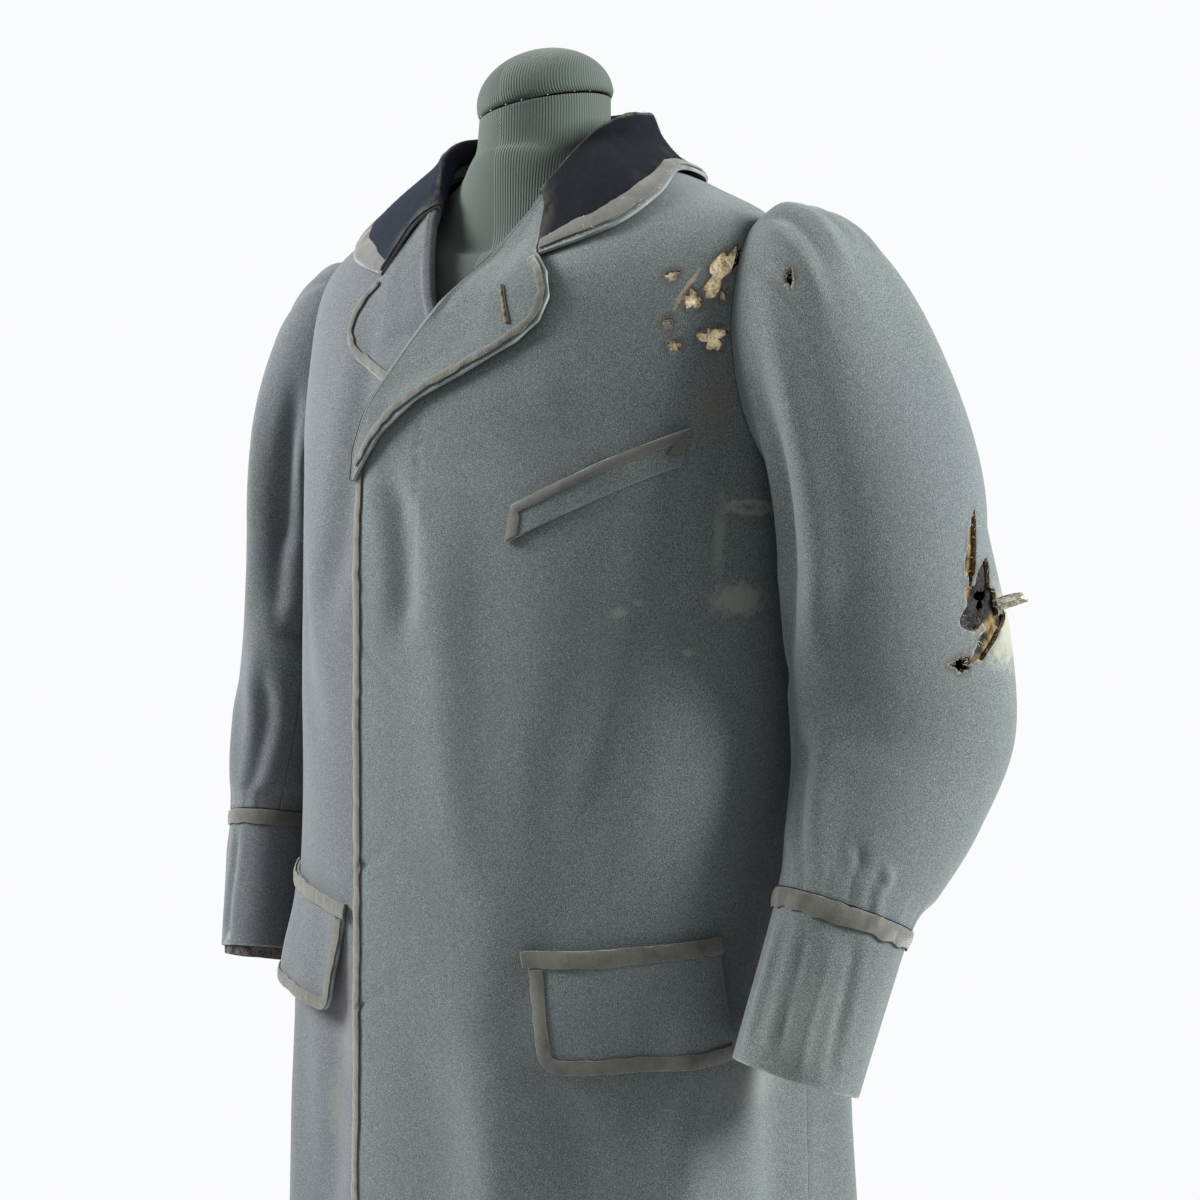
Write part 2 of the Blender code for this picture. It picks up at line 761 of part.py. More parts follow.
def moved(grid, out):
    """Return a grid of points moved along its normals."""
    return grid + grid_normals(grid) * out


def make_collar():
    """Make the undercollar, its velvet face and the braid round its outer edge."""
    grid = collar_grid()
    facing = np.sign(np.sum(grid_normals(grid)[0, COLLAR_STEPS // 2] * np.array([0.0, 1.0, 0.0])))
    wall("collar", GREY, grid, moved(grid, -COLLAR_WALL * facing))
    low, high = moved(grid, LAY * facing)[1:-1], moved(grid, (LAY + VELVET_THICK) * facing)[1:-1]
    wall("velvet_collar", VELVET, high, low)
    edge_low, edge_high = moved(grid, LAY * facing), moved(grid, (LAY + BRAID) * facing)
    low = np.stack([edge_low[0] * (1 - t) + edge_low[1] * t for t in COLLAR_BRAID_SPAN])
    high = np.stack([edge_high[0] * (1 - t) + edge_high[1] * t for t in COLLAR_BRAID_SPAN])
    wall("collar_braid", BRAID_GREY, high, low)


class Flap(NamedTuple):
    """A hip pocket flap in its front's elevation view."""

    x: float
    z: float
    width: float
    depth: float
    rise: float
    slant: float
    stand: float


LEFT_FLAP = Flap(0.107, 0.852, 0.165, 0.080, 0.014, 0.012, 0.0030)
RIGHT_FLAP = Flap(0.086, 0.862, 0.160, 0.083, 0.012, 0.014, 0.0110)
FLAP_WALL = 0.0026
FLAP_CORNER = 0.018
FLAP_BRAID = 0.0110
FLAP_COLUMNS = 9
FLAP_DROPS = (0.0, 0.22, 0.44, 0.66, 0.80, 0.90, 0.965, 1.0)
BAND_DROPS = (-0.0130, -0.0070, -0.0008)
BAND_THICK = 0.0016
BAND_OVERRUN = 0.003


def flap_place(side, flap, u, drop, out):
    """Return flap points: u runs along the flap from its front end, drop down from its top."""
    z = flap.z - drop + flap.rise * u / flap.width
    level = level_of(np.zeros(z.shape), z)
    around = (u + flap.slant * drop / flap.depth) / spline(BODY_RINGS, level)[..., 3]
    theta = angle_of(np.full(z.shape, flap.x), level) + around
    lift = overlap_lift(own_x(theta, level), level) if side > 0 else 0.0
    stand = flap.stand * smoothstep(0.0, flap.depth, drop)
    return body(theta, level, LAY + out + lift + stand) * np.array([side, 1.0, 1.0])


def corner_inset(drop, flap):
    """Return how far the flap's rounded lower corner stands back at a drop."""
    below = np.clip(drop - (flap.depth - FLAP_CORNER), 0.0, FLAP_CORNER)
    return FLAP_CORNER - np.sqrt(FLAP_CORNER**2 - below**2)


def make_flap(name, side, flap):
    """Make a flap with the raised braid along its top, and the braid round its front and lower edges."""
    drops = np.concatenate([BAND_DROPS, flap.depth * np.array(FLAP_DROPS)])
    raised = np.where(drops < 0.0, BAND_THICK, 0.0)[:, None]
    starts = [corner_inset(d, flap) - BAND_OVERRUN * (d < 0.0) for d in drops]
    u = np.linspace(starts, np.full(len(drops), flap.width), FLAP_COLUMNS, axis=1)
    drop = np.tile(drops[:, None], (1, FLAP_COLUMNS))
    wall(name, GREY, flap_place(side, flap, u, drop, FLAP_WALL + raised), flap_place(side, flap, u, drop, 0.0))
    turns = np.linspace(0.0, math.pi / 2, 6)
    corner = np.stack([
        FLAP_CORNER - FLAP_CORNER * np.cos(turns),
        flap.depth - FLAP_CORNER + FLAP_CORNER * np.sin(turns),
    ], axis=-1)
    upright = np.stack([np.zeros(3), np.linspace(0.002, flap.depth - FLAP_CORNER, 4)[:-1]], axis=-1)
    along = np.linspace(FLAP_CORNER, flap.width - 0.001, 8)[1:]
    bottom = np.stack([along, np.full(len(along), flap.depth)], axis=-1)
    path = np.concatenate([upright, corner, bottom])
    inward = inward_directions(path, -1)
    ribbon(name + "_braid", BRAID_GREY,
           lambda a, b, out: flap_place(side, flap, a, b, FLAP_WALL + out), path, inward, FLAP_BRAID)


class Welt(NamedTuple):
    """The breast welt in the left front's elevation view: its lower front corner, length and height."""

    x: float
    z: float
    length: float
    height: float
    rise: float
    lean: float


BREAST_WELT = Welt(0.088, 1.169, 0.112, 0.028, 0.056, 0.004)
WELT_WALL = 0.0024


def welt_place(u, height, out):
    """Return welt points: u runs along it from its front end, height up from its lower edge."""
    x = BREAST_WELT.x + u + BREAST_WELT.lean * height / BREAST_WELT.height
    z = BREAST_WELT.z + height + BREAST_WELT.rise * u / BREAST_WELT.length
    return front_point(1, x, z, LAY + out)


def make_welt():
    """Make the breast welt and the braid along its top and ends."""
    u, height = np.meshgrid(np.linspace(0, BREAST_WELT.length, 9), np.linspace(0, BREAST_WELT.height, 4))
    wall("breast_welt", GREY, welt_place(u, height, WELT_WALL), welt_place(u, height, 0.0))
    length, top = BREAST_WELT.length, BREAST_WELT.height
    path = np.array([[0.0005, 0.001], [0.0005, top * 0.5], [0.0005, top - 0.0005]]
                    + [[u, top - 0.0005] for u in np.linspace(0.010, length - 0.012, 8)]
                    + [[length - 0.0005, top - 0.0005], [length - 0.0005, top * 0.4]])
    inward = np.array([[1.0, 0.0]] * 2 + [[1.0, -1.0]] + [[0.0, -1.0]] * 8 + [[-1.0, -1.0], [-1.0, 0.0]])
    ribbon("breast_welt_braid", BRAID_GREY, lambda a, b, out: welt_place(a, b, WELT_WALL + out),
           path, inward, 0.0085)


class Tear(NamedTuple):
    """A tear or moth hole: its place on the surface, half sizes, turn from level, and raggedness."""

    angle: float
    place: float
    half_wide: float
    half_tall: float
    turn: float
    ragged: float


FRONT_TEARS = (
    Tear(67.2, 6.64, 0.0240, 0.0070, 52, 0.22),
    Tear(58.2, 6.44, 0.0060, 0.0066, 0, 0.20),
    Tear(63.0, 6.09, 0.0100, 0.0075, 10, 0.24),
    Tear(53.5, 6.73, 0.0048, 0.0032, 20, 0.15),
    Tear(51.5, 6.29, 0.0034, 0.0030, 0, 0.12),
    Tear(53.2, 6.08, 0.0046, 0.0038, -15, 0.18),
    Tear(66.6, 6.42, 0.0028, 0.0034, 0, 0.10),
)
SLEEVE_TEARS = (
    Tear(132, 0.28, 0.0026, 0.0055, 12, 0.12),
    Tear(202, 1.12, 0.0040, 0.0230, -4, 0.16),
    Tear(207, 1.66, 0.0190, 0.0230, -8, 0.20),
    Tear(214, 1.97, 0.0230, 0.0055, -22, 0.18),
    Tear(193, 2.06, 0.0075, 0.0050, 0, 0.20),
)
TEAR_REACH = 0.012
TEAR_POINTS = 20
LINING_GAP = 0.0006
WADDING_GAP = 0.0010
WADDING_THICK = 0.0040
WADDING_LEVELS = (5.86, 6.94)
WADDING_START = math.radians(47)
WADDING_MARGIN = math.radians(1.0)
WADDING_ROWS = 8
WADDING_COLUMNS = 7
ELBOW_ROWS = slice(6, 13)
ELBOW_STEPS = (11, 17)
CUFF_LINING_PLACES = (6.500, 6.990)
CUFF_LINING_HANG = 0.004
CUFF_LINING_DROOP = 0.008
CUFF_LINING_LOWEST = math.radians(40)
LINING_THICK = 0.0014


def tear_outline(tear):
    """Return the tear's ragged outline in its own plane."""
    t = np.linspace(0, 2 * math.pi, TEAR_POINTS, endpoint=False)
    phase = tear.angle * 0.7 + tear.place
    ragged = 1 + tear.ragged * (np.sin(3 * t + phase) + 0.7 * np.sin(5 * t + 2 * phase) + 0.5 * np.sin(8 * t))
    across, up = tear.half_wide * np.cos(t) * ragged, tear.half_tall * np.sin(t) * ragged
    turn = math.radians(tear.turn)
    return across * math.cos(turn) - up * math.sin(turn), across * math.sin(turn) + up * math.cos(turn)


def cut_tears(part, tears, surface):
    """Cut each tear through a piece with a prism square to its surface."""
    for number, tear in enumerate(tears):
        angle, place = math.radians(tear.angle), tear.place
        centre = surface(angle, place, 0.0)
        normal = unit(surface(angle, place, 0.01) - centre)
        up = unit(np.array([0.0, 0.0, 1.0]) - normal * normal[2])
        across = unit(np.cross(up, normal))
        u, v = tear_outline(tear)
        ring = centre + across * u[:, None] + up * v[:, None]
        ends = np.concatenate([ring + normal * TEAR_REACH, ring - normal * TEAR_REACH])
        faces = [list(range(TEAR_POINTS)), list(range(TEAR_POINTS, 2 * TEAR_POINTS))]
        for k in range(TEAR_POINTS):
            beside = (k + 1) % TEAR_POINTS
            faces.append([k, beside, TEAR_POINTS + beside, TEAR_POINTS + k])
        name = f"{part.name}_tear_{number + 1}"
        cutter = bpy.data.objects.new(name, closed_mesh(name, ends, faces))
        cutter.hide_render = True
        cutter.display_type = "WIRE"
        bpy.data.collections[CUTTERS].objects.link(cutter)
        cut = part.modifiers.new(name, "BOOLEAN")
        cut.operation = "DIFFERENCE"
        cut.solver = "EXACT"
        cut.object = cutter


def left_front_surface(theta, level, out):
    """Return points on the left front from body angles."""
    theta, level = np.broadcast_arrays(np.asarray(theta, float), np.asarray(level, float))
    lift = overlap_lift(own_x(theta, level), level)
    return body(theta, level, out + lift)


def make_wadding():
    """Make the chest wadding that the tears beside the left armhole show."""
    levels = np.linspace(*WADDING_LEVELS, WADDING_ROWS)
    edges = math.pi / 2 - ARMHOLE_FRONT * np.sqrt(1 - ((levels - ARMHOLE_MIDDLE) / ARMHOLE_HALF) ** 2)
    starts = np.full(levels.shape, WADDING_START)
    theta = np.linspace(starts, edges - WADDING_MARGIN, WADDING_COLUMNS, axis=1)
    level = np.tile(levels[:, None], (1, WADDING_COLUMNS))
    top = -WALL - WADDING_GAP
    wall("shoulder_wadding", WADDING, left_front_surface(theta, level, top),
         left_front_surface(theta, level, top - WADDING_THICK))


def make_elbow_lining():
    """Make the sleeve lining that the torn left elbow shows."""
    phi, place = np.meshgrid(loop_angles(*ELBOW_STEPS), sleeve_places()[ELBOW_ROWS])
    top = -WALL - LINING_GAP
    wall("left_elbow_lining", LINING, sleeve(1, phi, place, top), sleeve(1, phi, place, top - LINING_THICK))


def make_cuff_lining():
    """Make the lining that hangs out below the right cuff, lowest on the side towards the body."""
    angles = full_turn()
    hang = CUFF_LINING_HANG + CUFF_LINING_DROOP * (1 + np.cos(angles - CUFF_LINING_LOWEST)) / 2
    faces = []
    for out in (-WALL - LINING_GAP, -WALL - LINING_GAP - LINING_THICK):
        rows = [sleeve(-1, angles, np.full(angles.shape, place), out) for place in CUFF_LINING_PLACES]
        rows.append(rows[-1] - np.array([0.0, 0.0, 1.0]) * hang[:, None])
        faces.append(np.array(rows))
    wall("right_cuff_lining", LINING, faces[0], faces[1], closed=True)


class FormRing(NamedTuple):
    """One ring of the dress form: its height, half width, half depth and middle."""

    z: float
    half_width: float
    half_depth: float
    middle_y: float


FORM_INSET = (
    (1.5, 0.075),
    (3.0, 0.085),
    (4.0, 0.070),
    (5.0, 0.042),
    (6.0, 0.024),
    (6.6, 0.018),
    (7.15, 0.0105),
    (7.6, WALL + 0.0009),
    (8.4, WALL + 0.0009),
    (8.7, WALL + 0.0060),
)
FORM_BOTTOM = 0.800
NECK_RINGS = (
    FormRing(1.468, 0.0640, 0.0640, 0.000),
    FormRing(1.482, 0.0560, 0.0580, 0.000),
    FormRing(1.500, 0.0525, 0.0560, -0.001),
    FormRing(1.516, 0.0520, 0.0555, -0.001),
)
CAP_RADIUS = 0.056
CAP_HEIGHT = 0.040
CAP_TILT = math.radians(-5.0)
CAP_RIM_DEPTH = 0.006
CAP_RIM = ((-0.001, -0.004), (-0.004, -CAP_RIM_DEPTH))
CAP_STEPS = 28
DOME_RINGS = 7
NECK_TOP = NECK_RINGS[-1].z
POLE_RADIUS = 0.016
BASE_RADIUS = 0.190
BASE_THICK = 0.018
BASE_EDGE = ((-0.008, -0.003), (-0.001, -0.007), (0.0, -0.010))
BASE_STEPS = 32
POLE_STEPS = 20
STAND_ROUGHNESS = 0.4
FORM_LEVELS = (2.15, 3.0, 4.0, 5.0, 5.6, 6.0, 6.4, 6.8, 7.15, 7.5, 7.9, 8.3, 8.7)
SIDE_HOLLOW = 0.020
CHEST_HOLLOW = 0.010
FORM_STEPS = 24


def make_form():
    """Make the form's torso and neck in one solid, just clear of the cloth at the shoulders."""
    theta = np.linspace(0, 2 * math.pi, FORM_STEPS, endpoint=False)
    levels = np.array([row[0] for row in FORM_INSET])
    insets = np.array([row[1] for row in FORM_INSET])
    rings = []
    sideways = np.abs(np.sin(theta))
    for level in FORM_LEVELS:
        inset = float(np.interp(level, levels, insets))
        at_armhole = smoothstep(5.0, 5.6, level) * (1 - smoothstep(6.9, 7.6, level))
        at_side = SIDE_HOLLOW * at_armhole * sideways**6
        in_front = CHEST_HOLLOW * smoothstep(6.4, 7.2, level) * (1 - smoothstep(0.70, 0.93, sideways))
        rings.append(body(theta, np.full(theta.shape, level), -inset - at_side - in_front))
    for ring in NECK_RINGS:
        x = ring.half_width * np.sin(theta)
        y = ring.middle_y - ring.half_depth * np.cos(theta)
        rings.append(np.stack([x, y, np.full(theta.shape, ring.z)], axis=-1))
    rings[-1][:, 2] -= rings[-1][:, 0] * math.tan(CAP_TILT)
    rings[0][:, 2] = FORM_BOTTOM
    return ringed_solid("dress_form", JERSEY, np.array(rings))


def turned(name, colour, profile, steps, roughness=0.9, location=(0.0, 0.0, 0.0), tilt=0.0):
    """Make a turned solid from a profile that runs down its outer side."""
    mesh = bpy.data.meshes.new(name)
    edges = [(k, k + 1) for k in range(len(profile) - 1)]
    mesh.from_pydata([(radius, 0.0, z) for radius, z in profile], edges, [])
    part = new_object(name, mesh, colour, roughness)
    screw = part.modifiers.new("turn", "SCREW")
    screw.steps = steps
    screw.render_steps = steps
    screw.use_merge_vertices = True
    screw.merge_threshold = 0.0001
    part.location = location
    part.rotation_euler = (0.0, tilt, 0.0)
    return part


def make_stand():
    """Make the domed neck cap, the pole and the round base."""
    turns = np.linspace(0.0, math.pi / 2, DOME_RINGS)
    dome = [(CAP_RADIUS * math.sin(t), CAP_HEIGHT * math.cos(t)) for t in turns]
    rim = [(CAP_RADIUS + out, down) for out, down in CAP_RIM] + [(0.0, -CAP_RIM_DEPTH)]
    lift = NECK_TOP + (CAP_RIM_DEPTH + SEAM) / math.cos(CAP_TILT)
    turned("neck_cap", JERSEY, dome + rim, CAP_STEPS, location=(0.0, NECK_RINGS[-1].middle_y, lift), tilt=CAP_TILT)
    edge = [(BASE_RADIUS + out, BASE_THICK + down) for out, down in BASE_EDGE]
    base = [(0.0, BASE_THICK)] + edge + [(BASE_RADIUS, 0.0), (0.0, 0.0)]
    turned("stand_base", BLACK, base, BASE_STEPS, STAND_ROUGHNESS)
    low, high = BASE_THICK + SEAM, FORM_BOTTOM - SEAM
    pole = [(0.0, high), (POLE_RADIUS, high), (POLE_RADIUS, low), (0.0, low)]
    turned("stand_pole", BLACK, pole, POLE_STEPS, STAND_ROUGHNESS)


def clear_scene():
    """Remove whatever the scene holds."""
    for thing in list(bpy.data.objects):
        bpy.data.objects.remove(thing, do_unlink=True)
    for group in list(bpy.data.collections):
        bpy.data.collections.remove(group)


def main():
    """Build the overcoat on its dress form."""
    clear_scene()
    collection(COAT)
    collection(CUTTERS)
    cut_tears(make_front("left_front", 1), FRONT_TEARS, left_front_surface)
    make_front("right_front", -1)
    make_back()
    for side, label in ((1, "left"), (-1, "right")):
        top_sleeve = make_sleeve(label + "_top_sleeve", side, TOP_SLEEVE_FIRST, TOP_SLEEVE_LAST)
        if side > 0:
            cut_tears(top_sleeve, SLEEVE_TEARS, lambda phi, place, out: sleeve(1, phi, place, out))
        make_sleeve(label + "_under_sleeve", side, TOP_SLEEVE_LAST, TOP_SLEEVE_FIRST + 2 * ARMHOLE_STEPS)
        make_cuff(label + "_cuff", side)
        make_lapel(label + "_lapel", side)
    make_lapel_braid("left_lapel_braid", 1, 1.255)
    make_lapel_braid("right_lapel_braid", -1, 1.28)
    make_front_braid()
    make_collar()
    make_flap("left_flap", 1, LEFT_FLAP)
    make_flap("right_flap", -1, RIGHT_FLAP)
    make_welt()
    make_wadding()
    make_elbow_lining()
    make_cuff_lining()
    make_form()
    make_stand()


if __name__ == "__main__":
    main()
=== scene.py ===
"""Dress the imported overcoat: creased cloth, braid, velvet, tears, the dress form and the studio.

Metres, +Z up, the coat's front towards -Y and the wearer's left towards +X.
"""

import logging
import math
from dataclasses import dataclass, field
from enum import Enum
from typing import Any, Callable, NamedTuple, Sequence

import bmesh
import bpy
import numpy as np
from mathutils import Matrix, Vector


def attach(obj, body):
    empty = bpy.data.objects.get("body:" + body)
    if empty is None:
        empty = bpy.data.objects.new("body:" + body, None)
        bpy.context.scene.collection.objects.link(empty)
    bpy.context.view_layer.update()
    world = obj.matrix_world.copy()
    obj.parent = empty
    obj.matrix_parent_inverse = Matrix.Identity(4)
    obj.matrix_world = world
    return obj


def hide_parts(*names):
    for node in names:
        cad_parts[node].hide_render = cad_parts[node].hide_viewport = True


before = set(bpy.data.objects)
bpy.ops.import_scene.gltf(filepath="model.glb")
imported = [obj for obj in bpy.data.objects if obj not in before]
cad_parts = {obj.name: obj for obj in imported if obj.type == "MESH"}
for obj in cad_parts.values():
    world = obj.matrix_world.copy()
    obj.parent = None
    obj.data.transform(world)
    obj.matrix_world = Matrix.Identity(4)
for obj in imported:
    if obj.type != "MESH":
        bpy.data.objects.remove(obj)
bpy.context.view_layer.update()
LOG = logging.getLogger("overcoat")

Array = np.ndarray
Colour = tuple[float, float, float]
ROOT = "root"
SEAM = 0.0003
WALL = 0.0030
LAY = 0.0006
HEM = 0.42
WEAR_REACH = 0.0022
CUT_DEPTH = 0.009
COLLAR_SPAN = 0.44
COLLAR_LAYER = 0.0014
CUFF_RADIUS = 0.05
FLAP_CURL = 0.0012
WHITE = (0.96, 0.965, 0.98, 1.0)
FLOOR_RADIUS = 1.25
LAMP_TARGET = Vector((0.05, 0.0, 1.05))
UP = np.array([0.0, 0.0, 1.0])


class Side(Enum):
    """The wearer's left and right."""

    LEFT = 1
    RIGHT = -1

    @property
    def label(self) -> str:
        """Return the side's word in node names."""
        return self.name.lower()

    def wool(self, left: str = "front_wool") -> str:
        """Return the side's cloth: the given one on the left, and on the right its darker, bluer copy, which is
        painted shade.
        """
        return left if self is Side.LEFT else "right_wool"


def smoothstep(low: float, high: float, value: Array | float) -> Array:
    """Return 0 below low, 1 above high and a smooth rise between.

    Args:
        low: Where the rise starts.
        high: Where it ends.
        value: The values to read.

    Returns:
        The rise at each value.
    """
    t = np.clip((np.asarray(value, float) - low) / (high - low), 0.0, 1.0)
    return t * t * (3.0 - 2.0 * t)


def curve(start: Array, slope_0: Array, end: Array, slope_1: Array, t: Array) -> Array:
    """Return the smooth curve between two points with the given slopes at its ends."""
    return (start * (2 * t**3 - 3 * t**2 + 1) + slope_0 * (t**3 - 2 * t**2 + t)
            + end * (3 * t**2 - 2 * t**3) + slope_1 * (t**3 - t**2))


def spline(rows: Sequence, position: Array | float) -> Array:
    """Return a smooth curve through evenly spaced table rows.

    Args:
        rows: The table.
        position: Row numbers to read, whole or between rows.

    Returns:
        The curve's values, with the table's columns on the last axis.
    """
    table = np.asarray(rows, dtype=float)
    position = np.asarray(position, dtype=float)
    index = np.clip(np.floor(position).astype(int), 0, len(table) - 2)
    t = (position - index)[..., None]
    before, start = table[np.maximum(index - 1, 0)], table[index]
    end, after = table[index + 1], table[np.minimum(index + 2, len(table) - 1)]
    return curve(start, (end - before) * 0.5, end, (after - start) * 0.5, t)


def unit(vectors: Array) -> Array:
    """Return the vectors at length one."""
    return vectors / np.linalg.norm(vectors, axis=-1, keepdims=True)


@dataclass(frozen=True)
class Wobble:
    """Smooth seeded unevenness along a length."""

    seed: int
    pitch: float

    def __call__(self, length: Array | float) -> Array:
        """Return values between -1 and 1 at positions along the length."""
        steps = np.random.default_rng(self.seed).uniform(-1.0, 1.0, 1024)
        place = np.asarray(length, float) / self.pitch + 137.0
        low = np.floor(place).astype(int)
        t = place - low
        t = t * t * (3 - 2 * t)
        return steps[low % 1024] * (1 - t) + steps[(low + 1) % 1024] * t


def mottle(seed: int, pitch: float, across: Array, along: Array) -> Array:
    """Return smooth seeded unevenness over an area.

    Args:
        seed: Picks the pattern.
        pitch: The size of its lumps, in metres.
        across: Positions across the area.
        along: Positions along it.

    Returns:
        Values of about -1 to 1.
    """
    total = np.zeros(np.broadcast(across, along).shape)
    for k, turn in enumerate((0.3, 1.1, 1.9, 2.7)):
        total = total + Wobble(seed + 31 * k, pitch)(across * math.cos(turn) + along * math.sin(turn))
    return total / 2.2


@dataclass(frozen=True)
class Crease:
    """A soft trough (negative depth) or ridge between two points of a surface's own flat map."""

    start: tuple[float, float]
    end: tuple[float, float]
    width: float
    depth: float
    bow: float = 0.0
    seed: int = 1

    def relief(self, across: Array, along: Array) -> Array:
        """Return how far the crease moves the surface out at each point of the map."""
        a, b = np.array(self.start), np.array(self.end)
        length = float(np.hypot(*(b - a)))
        ahead = (b - a) / length
        run = ((across - a[0]) * ahead[0] + (along - a[1]) * ahead[1]) / length
        off = -(across - a[0]) * ahead[1] + (along - a[1]) * ahead[0]
        off = off - self.bow * 4 * np.clip(run, 0, 1) * (1 - np.clip(run, 0, 1))
        off = off + self.width * 0.35 * Wobble(self.seed, length / 3)(run * length)
        ends = smoothstep(-0.12, 0.25, run) * (1 - smoothstep(0.72, 1.12, run))
        uneven = 1 + 0.25 * Wobble(self.seed + 9, length / 4)(run * length)
        valley = np.exp(-((off / self.width) ** 2))
        shoulder = np.exp(-(((np.abs(off) - 1.9 * self.width) / self.width) ** 2))
        return self.depth * ends * uneven * (valley - 0.22 * shoulder)


def relief_of(creases: Sequence[Crease], across: Array, along: Array) -> Array:
    """Return the summed relief of creases over a flat map."""
    total = np.zeros(np.broadcast(across, along).shape)
    for crease in creases:
        total = total + crease.relief(across, along)
    return total


BODY_RINGS = (
    (HEM, HEM, HEM, 0.262, 0.206, 0.200, 0.030),
    (0.600, 0.600, 0.600, 0.250, 0.196, 0.186, 0.030),
    (0.780, 0.780, 0.780, 0.244, 0.189, 0.176, 0.028),
    (0.950, 0.950, 0.950, 0.239, 0.183, 0.165, 0.024),
    (1.100, 1.100, 1.100, 0.236, 0.177, 0.152, 0.020),
    (1.205, 1.205, 1.205, 0.238, 0.170, 0.144, 0.017),
    (1.285, 1.316, 1.328, 0.233, 0.152, 0.136, 0.011),
    (1.342, 1.402, 1.400, 0.215, 0.126, 0.120, 0.003),
    (1.388, 1.443, 1.448, 0.152, 0.103, 0.100, 0.003),
    (1.425, 1.472, 1.482, 0.082, 0.075, 0.072, 0.000),
)
BODY_FOLDS = (
    (14, 10, 4.8, 1.0, -0.0025), (32, 10, 4.4, 1.2, 0.0020), (62, 9, 1.0, 1.8, 0.0040),
    (-58, 9, 0.8, 1.8, 0.0045), (80, 8, 0.0, 1.9, -0.0045), (-82, 8, 0.0, 1.9, -0.0040),
    (112, 10, 0.0, 2.2, 0.0050), (-118, 10, 0.0, 2.0, 0.0055), (150, 9, 0.0, 2.4, -0.0050),
    (-156, 9, 0.2, 2.2, -0.0045), (66, 6, 5.2, 0.7, -0.0040), (-66, 6, 5.2, 0.7, -0.0040),
)
NECK_LEVEL = 9.0
SQUARENESS = 0.10
BODY_GIRTH = 0.24
ARMHOLE_BOTTOM, ARMHOLE_TOP = 5.0, 7.1
ARMHOLE_MIDDLE = (ARMHOLE_BOTTOM + ARMHOLE_TOP) / 2
ARMHOLE_HALF = (ARMHOLE_TOP - ARMHOLE_BOTTOM) / 2
ARMHOLE_FRONT = math.radians(22.0)
ARMHOLE_BACK = math.radians(25.0)
EDGE_X = -0.066
ROLL_Z = (1.100, 1.238, 1.262, 1.356, 1.422, 1.452, 1.475)
ROLL_X = (EDGE_X, EDGE_X, -0.050, 0.022, 0.058, 0.066, 0.068)
GORGE_TOP = (0.0605, 1.4340)
NOTCH = (0.0830, 1.3790)


